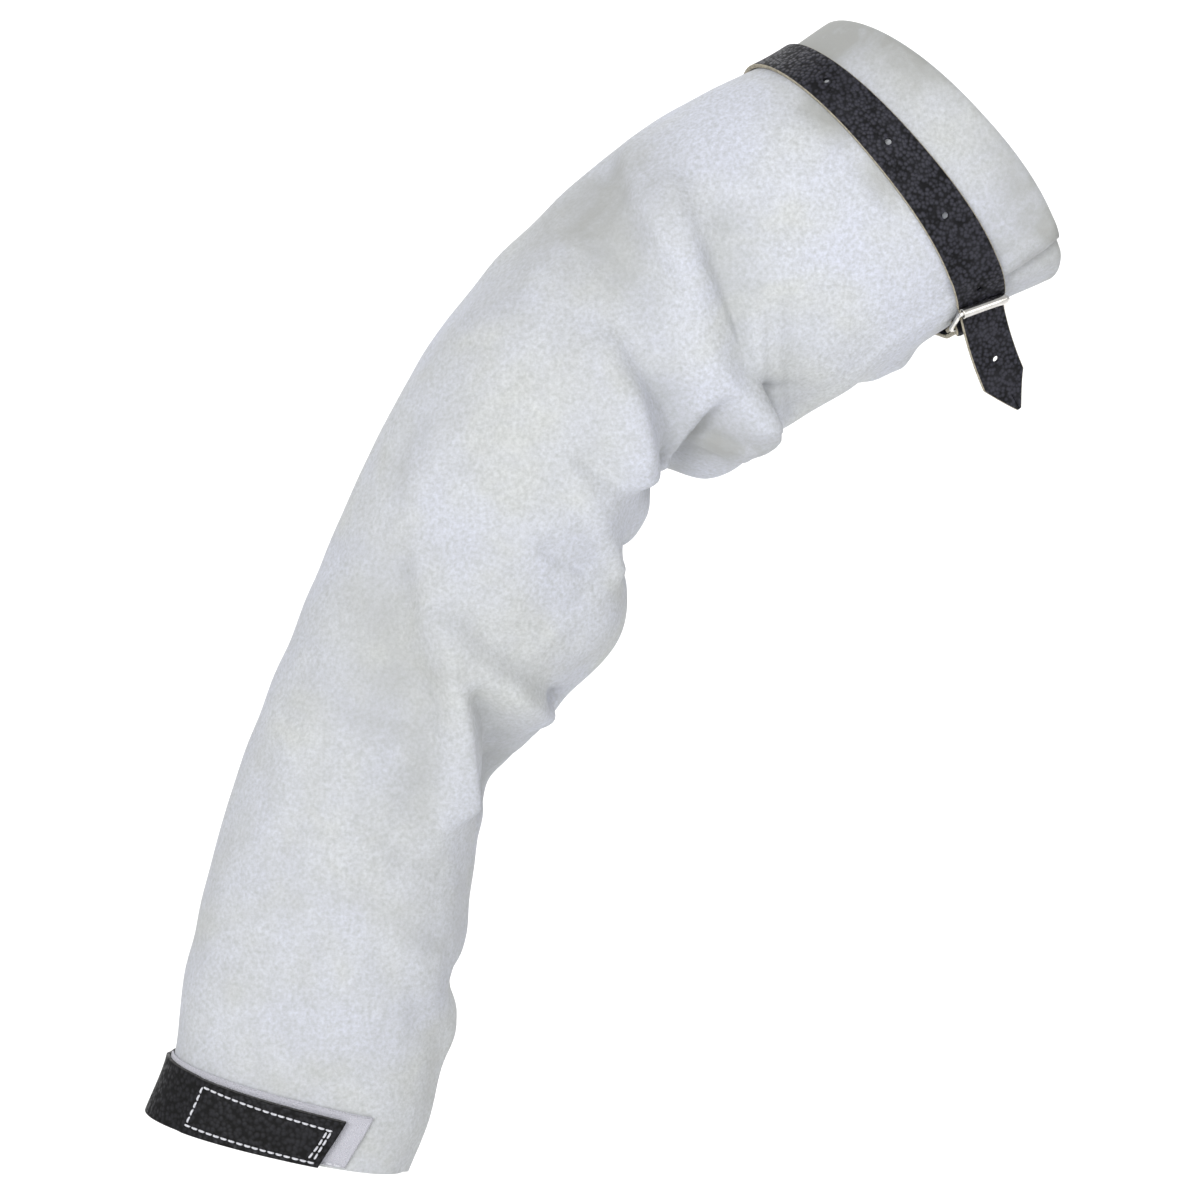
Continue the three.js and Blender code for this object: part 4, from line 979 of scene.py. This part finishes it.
class WELDING_SLEEVE_OT_strap(bpy.types.Operator):
    """Make both lengths of the strap, with its holes and raw edges"""
    bl_idname = "welding_sleeve.strap"
    bl_label = "Strap"

    def execute(self, context):
        every = settings(context)
        look = every.strap
        route = StrapRoute(every.sleeve, look, every.buckle)
        finish = grain_leather("strap_leather", look)
        section = strip_section(route.thick, 0.45)
        for name, node, points in (
                ("strap_front", "upper_strap", upper_strap_points(route, section)),
                ("strap_back", "buckle_strap", back_strap_points(route, section))):
            piece = make_piece(name, points, strip_faces(points), finish, [node],
                               {"edge": np.broadcast_to(section[3], points.shape[:2])})
            if node == "upper_strap":
                marks, normals, distance = route.marks()
                wanted = (look.hole_start + look.hole_pitch * np.arange(look.hole_count)) / MM
                at = np.searchsorted(distance, wanted)
                cutters = disc_cutters(marks[at], normals[at], look.hole_radius / MM, route.thick * 1.5)
                cut_out(piece, cutters, tube_faces(len(cutters), *cutters.shape[1:3]))
            else:
                slot = np.array([[x, y, z] for x in (-1, 1) for y in (0.0, 1.0) for z in (-1, 1)], float)
                slot = slot * [PRONG_SLOT / 2, FOLD_BACK, route.loop_radius * 3]
                slot = slot - [0, route.loop_radius * 1.6, 0]
                box = [[0, 1, 3, 2], [4, 6, 7, 5], [0, 4, 5, 1], [2, 3, 7, 6], [0, 2, 6, 4], [1, 5, 7, 3]]
                cut_out(piece, route.in_buckle(slot, route.heel), [box])
        return {"FINISHED"}


class WELDING_SLEEVE_OT_buckle(bpy.types.Operator):
    """Make the buckle's frame, its roller and its prong"""
    bl_idname = "welding_sleeve.buckle"
    bl_label = "Roller buckle"

    def execute(self, context):
        every = settings(context)
        metal = every.buckle
        route = StrapRoute(every.sleeve, every.strap, metal)
        finish = nickel_finish(metal)
        self.make_frame(route, metal, finish)
        self.make_roller(route, metal, finish)
        self.make_prong(route, metal, finish)
        return {"FINISHED"}

    def make_frame(self, route, metal, finish):
        """A rounded square section carried round a rectangle with rounded corners."""
        bar = metal.bar / MM
        half, span = metal.roller_length / MM / 2 + GAP + bar / 2, metal.span / MM
        bend = bar
        spin = np.linspace(0, np.pi / 2, 7)
        corners = [(half - bend, bend, -np.pi / 2), (half - bend, span - bend, 0.0),
                   (-half + bend, span - bend, np.pi / 2), (-half + bend, bend, np.pi)]
        path = np.concatenate([
            np.stack([x + bend * np.cos(spin + start), y + bend * np.sin(spin + start), 0 * spin], -1)
            for x, y, start in corners])
        out = np.concatenate([
            np.stack([np.cos(spin + start), np.sin(spin + start), 0 * spin], -1) for _, _, start in corners])
        ring = circle(16)
        ring = np.stack([np.cos(ring), np.sin(ring)], -1)
        ring = ring / (np.abs(ring)**4).sum(-1, keepdims=True)**0.25 * bar / 2
        points = path[:, None] + out[:, None] * ring[:, :1] + np.array([0, 0, 1.0]) * ring[:, 1:]
        points = route.in_buckle(points, route.roller)
        make_piece("buckle_frame_wire", points, ring_faces(points), finish, ["buckle_frame"])

    def make_roller(self, route, metal, finish):
        """A rolled tube with rounded lips: its profile turned about the roller's axis, with a
        narrow seam where the sheet's edges meet."""
        half, radius = metal.roller_length / MM / 2, metal.roller_radius / MM
        bore = metal.bar / MM / 2 * math.sqrt(2) + GAP
        lip = np.linspace(0, np.pi, 7)[:, None]
        middle, thick = (radius + bore) / 2, (radius - bore) / 2
        side = lambda way: np.concatenate([way * (half - thick + thick * np.sin(lip)),
                                           middle + way * thick * np.cos(lip)], 1)
        profile = np.concatenate([side(1), side(-1)])
        spin = circle(48)
        seam = 1 - 0.10 * np.exp(-(np.mod(spin - 4.9 + np.pi, 2 * np.pi) - np.pi)**2 / 0.01)
        x = np.broadcast_to(profile[:, :1], (len(profile), 48))
        r = profile[:, 1:] * seam
        points = route.in_buckle(np.stack([x, r * np.cos(spin), r * np.sin(spin)], -1), route.roller)
        make_piece("buckle_roller_tube", points, ring_faces(points), finish, ["buckle_roller"])

    def make_prong(self, route, metal, finish):
        """A round wire bent round the heel bar, then straight to a tip that leans on the tail."""
        radius, length, span = metal.prong_radius / MM, metal.prong_length / MM, metal.span / MM
        ring = metal.bar / MM / 2 * math.sqrt(2) + GAP + radius
        reach = span * math.sin(TAIL_BEND) - route.pass_radius - route.thick / 2
        lean = 0.0
        for _ in range(8):
            lean = math.asin(min(max((reach + ring * math.cos(lean) - radius - GAP) / length, 0), 1))
        angle = TAIL_BEND + lean
        swept = angle - np.pi / 2 - PRONG_HOOK * (1 - np.linspace(0, 1, 34))
        hook = np.stack([0 * swept, np.cos(swept) * ring, np.sin(swept) * ring], -1)
        way = np.array([0, math.cos(angle), math.sin(angle)])
        straight = hook[-1] + way * (np.linspace(0, 1, 13)[1:, None] * length)
        path = np.concatenate([hook, straight])
        along = unit(np.gradient(path, axis=0))
        out = np.cross(along, [1.0, 0, 0])
        spin = circle(16)[None, :, None]
        taper = np.concatenate([np.ones(len(path) - 4), [1, 0.97, 0.88, 0.6]])[:, None, None] * radius
        points = path[:, None] + (np.cos(spin) * np.array([1.0, 0, 0]) + np.sin(spin) * out[:, None]) * taper
        points = route.in_buckle(points, route.heel)
        make_piece("buckle_prong_wire", points, strip_faces(points), finish, ["buckle_prong"])


TAB_ROOT_ANGLE = math.radians(-150)
TAB_END_ANGLE = math.radians(24)
END_SLANT = math.radians(6)
SLANT_RUN = math.radians(25)
HOOK_START_ANGLE = math.radians(-38)
LOOP_START_ANGLE = math.radians(-84)
LOOP_END_ANGLE = math.radians(37)
TAB_ROOT_WIDTH = 29.5
TAB_END_WIDTH = 23.0
PATCH_SHOW_START = 1.4
PATCH_SHOW_END = 3.4
PATCH_INSET = 1.2
HOOK_INSET = 2.2

# The thread's runs: angle in degrees and millimetres over the wrist's edge
STITCH_RECTANGLE = [[-36.5, 22.2], [19, 17.8], [15, 2.2], [-38.5, 4.0], [-36.5, 22.2]]
STITCH_ROW = [[17.2, 17.2], [15.4, 10.0], [12.8, 3.0]]
STITCH_LOOPS = [[21, 2.4], [30, 1.8]]


def tab_width(angle):
    """The tab's width, narrowing from its root to its end, as a share along."""
    share = (angle - TAB_ROOT_ANGLE) / (TAB_END_ANGLE - TAB_ROOT_ANGLE)
    return (TAB_ROOT_WIDTH + (TAB_END_WIDTH - TAB_ROOT_WIDTH) * share) / LENGTH


def loop_upper(angle):
    """The loop patch's upper edge: it shows further past the tab's edge towards its end."""
    share = (angle - LOOP_START_ANGLE) / (LOOP_END_ANGLE - LOOP_START_ANGLE)
    return tab_width(angle) + (PATCH_SHOW_START + (PATCH_SHOW_END - PATCH_SHOW_START) * share) / LENGTH


def wrist_strip(angle, lower, upper, seat, section):
    """A strip round the wrist: its section's points between its lower and upper edges at each
    angle, its middle at a height of seat over the leather's middle."""
    s, inset, lift, _ = section
    low, high = lower(angle)[:, None], upper(angle)[:, None]
    along = (low + high) / 2 + (high - low) / 2 * s - np.sign(s) * inset / LENGTH
    slant = END_SLANT * (1 - s) / 2 * smoothstep(angle, angle[-1] - SLANT_RUN, angle[-1])[:, None]
    return lifted(along, angle[:, None] - slant, seat[:, None] + lift)


class WELDING_SLEEVE_OT_wrist(bpy.types.Operator):
    """Make the wrist's tab, its hook and loop patches and its stitches"""
    bl_idname = "welding_sleeve.wrist"
    bl_label = "Wrist tab"

    def execute(self, context):
        every = settings(context)
        look = every.wrist
        wall, lap_run = every.sleeve.wall / MM, every.sleeve.lap_run / MM
        thick, patch = look.tab_thick / MM, look.patch_thick / MM
        base, rise = wall / 2 + GAP, patch + GAP

        def over(angle, start):
            return 1 - smoothstep((start - angle) * ROUND, GAP, lap_run)

        angle = np.linspace(LOOP_START_ANGLE, LOOP_END_ANGLE, 110)
        section = strip_section(patch, 0.3)
        points = wrist_strip(angle, lambda a: 0 * a + PATCH_INSET / LENGTH, loop_upper,
                             np.full(len(angle), base + patch / 2), section)
        make_piece("loop_tape", points, strip_faces(points),
                   pile_finish("loop_pile", look.loops, look.loops_shade, 0.0008), ["loop_patch"])

        angle = np.linspace(HOOK_START_ANGLE, TAB_END_ANGLE - HOOK_INSET / ROUND, 50)
        points = wrist_strip(angle, lambda a: 0 * a + HOOK_INSET / LENGTH,
                             lambda a: tab_width(a) - HOOK_INSET / LENGTH,
                             np.full(len(angle), base + rise + patch / 2), section)
        make_piece("hook_tape", points, strip_faces(points),
                   pile_finish("hook_pile", look.hooks, look.valley, 0.0009), ["hook_patch"])

        def seat(a):
            return base + rise * over(a, LOOP_START_ANGLE) + rise * over(a, HOOK_START_ANGLE) + thick / 2

        angle = np.linspace(TAB_ROOT_ANGLE, TAB_END_ANGLE, 170)
        section = strip_section(thick, 0.4, 22)
        points = wrist_strip(angle, lambda a: 0 * a, tab_width, seat(angle), section)
        make_piece("wrist_tab_leather", points, strip_faces(points),
                   grain_leather("tab_leather", look), ["wrist_tab"],
                   {"edge": np.broadcast_to(section[3], points.shape[:2])})
        self.make_stitches(look, seat, thick, wall)
        return {"FINISHED"}

    def make_stitches(self, look, seat, thick, wall):
        """Runs of white thread: the rectangle that holds the hook patch, its second row beside the
        tab's end, and a short row on the loop patch. Equal steps along each run's corners."""
        def on_tab(a):
            return seat(a) + thick / 2

        def on_loops(a):
            return 0 * a + wall / 2 + GAP + look.patch_thick / MM

        radius, pitch = look.thread / MM, (look.stitch + look.stitch_gap) / MM
        points = []
        for rows, height in ((STITCH_RECTANGLE, on_tab), (STITCH_ROW, on_tab), (STITCH_LOOPS, on_loops)):
            corners = np.array(rows, float)
            fine = np.concatenate([
                corners[i] + (corners[i + 1] - corners[i]) * np.linspace(0, 1, 200, endpoint=False)[:, None]
                for i in range(len(corners) - 1)])
            angle, along = np.radians(fine[:, 0]), fine[:, 1] / LENGTH
            path, _, _, normals = tube_frame(along, angle)
            path = path + normals * height(angle)[:, None]
            steps = np.linalg.norm(np.diff(path, axis=0), axis=-1)
            distance = np.concatenate([[0], np.cumsum(steps)])
            at = np.searchsorted(distance, np.arange(pitch / 2, distance[-1], pitch))
            at = np.clip(at, 1, len(path) - 2)
            points.append(stitch_points(path[at] + normals[at] * radius * 0.3, path[at + 1] - path[at - 1],
                                        normals[at], look.stitch / MM, radius, radius * 0.6))
        points = np.concatenate(points)
        make_piece("tab_stitches", points, tube_faces(len(points), *points.shape[1:3]),
                   thread_finish("white_thread", look.thread_colour, look.loops_shade))


class WELDING_SLEEVE_OT_stage(bpy.types.Operator):
    """Make the pale floor, the soft lights and the camera"""
    bl_idname = "welding_sleeve.stage"
    bl_label = "Stage"

    def execute(self, context):
        look = settings(context).stage
        scene = context.scene
        self.make_floor(look)
        centre = Vector(VIEW_CENTRE)
        lens = bpy.data.cameras.new("camera")
        camera = put("camera", lens)
        lens.sensor_width = 36
        lens.lens = 18 * look.distance / (look.frame_width / 2)
        lens.clip_end = 20
        camera.location = centre + Vector((0, -look.distance, 0))
        camera.rotation_euler = (math.pi / 2, 0, 0)
        scene.camera = camera
        self.light("key", (-0.80, -1.85, 0.30), 0.9, look.key, centre)
        self.light("fill", (0.8, -1.4, -0.45), 1.4, look.fill, centre)
        self.light("backdrop", (0.0, 1.1, 1.6), 2.2, look.backdrop, Vector((0.0, 2.7, -0.2)))
        world = bpy.data.worlds.new("sky")
        scene.world = world
        world.use_nodes = True
        world.node_tree.nodes["Background"].inputs[0].default_value = (1, 1, 1, 1)
        world.node_tree.nodes["Background"].inputs[1].default_value = look.sky
        scene.view_settings.view_transform = "Standard"
        return {"FINISHED"}

    def make_floor(self, look):
        """A floor that turns up into a wall through a quarter circle."""
        bend = 0.8
        spin = np.linspace(0, np.pi / 2, 24)
        back = 2.2
        y = np.concatenate([[-4.0], back + bend * np.sin(spin), [back + bend]])
        z = np.concatenate([[0.0], bend * (1 - np.cos(spin)), [4.0]]) - look.floor_drop
        x = np.array([-5.0, 5.0])
        grid = np.stack(np.broadcast_arrays(x[None, :], y[:, None], z[:, None]), -1) / MM
        mesh = make_mesh("floor", grid, [grid_faces(len(y), 2)])
        f = Finish("pale_floor")
        f.set(Specular_IOR_Level=0.1)
        tone = f.band(f.noise(0.25, 2, 0.5), 0.4, 0.6)
        shade = tuple(0.985 * c for c in look.floor)
        mesh.materials.append(f.done(f.mix(tone, look.floor, shade), f.band(tone, 0, 1, 0.88, 0.94)))
        put("floor", mesh)

    def light(self, name, place, size, power, target):
        lamp = bpy.data.lights.new(name, "AREA")
        lamp.size, lamp.energy = size, power
        light = put(name, lamp)
        light.location = place
        light.rotation_euler = (target - Vector(place)).to_track_quat("-Z", "Y").to_euler()


class WeldingSleeveSettings(bpy.types.PropertyGroup):
    """All settings of the welding sleeve."""
    sleeve: bpy.props.PointerProperty(type=SleeveSettings)
    strap: bpy.props.PointerProperty(type=StrapSettings)
    buckle: bpy.props.PointerProperty(type=BuckleSettings)
    wrist: bpy.props.PointerProperty(type=WristSettings)
    stage: bpy.props.PointerProperty(type=StageSettings)


STEPS = (WELDING_SLEEVE_OT_body, WELDING_SLEEVE_OT_strap, WELDING_SLEEVE_OT_buckle, WELDING_SLEEVE_OT_wrist,
         WELDING_SLEEVE_OT_stage)


class VIEW3D_PT_welding_sleeve(bpy.types.Panel):
    """Lists the steps of the welding sleeve"""
    bl_label = "Welding sleeve"
    bl_idname = "VIEW3D_PT_welding_sleeve"
    bl_space_type = "VIEW_3D"
    bl_region_type = "UI"
    bl_category = "Welding sleeve"

    def draw(self, context):
        for step in STEPS:
            self.layout.operator(step.bl_idname)


CLASSES = (SleeveSettings, StrapSettings, BuckleSettings, WristSettings, StageSettings,
           WeldingSleeveSettings, *STEPS, VIEW3D_PT_welding_sleeve)


def register():
    for cls in CLASSES:
        bpy.utils.register_class(cls)
    bpy.types.Scene.welding_sleeve = bpy.props.PointerProperty(type=WeldingSleeveSettings)


def unregister():
    del bpy.types.Scene.welding_sleeve
    for cls in reversed(CLASSES):
        bpy.utils.unregister_class(cls)


def main():
    register()
    bpy.ops.welding_sleeve.body()
    bpy.ops.welding_sleeve.strap()
    bpy.ops.welding_sleeve.buckle()
    bpy.ops.welding_sleeve.wrist()
    bpy.ops.welding_sleeve.stage()


if __name__ == "__main__":
    main()
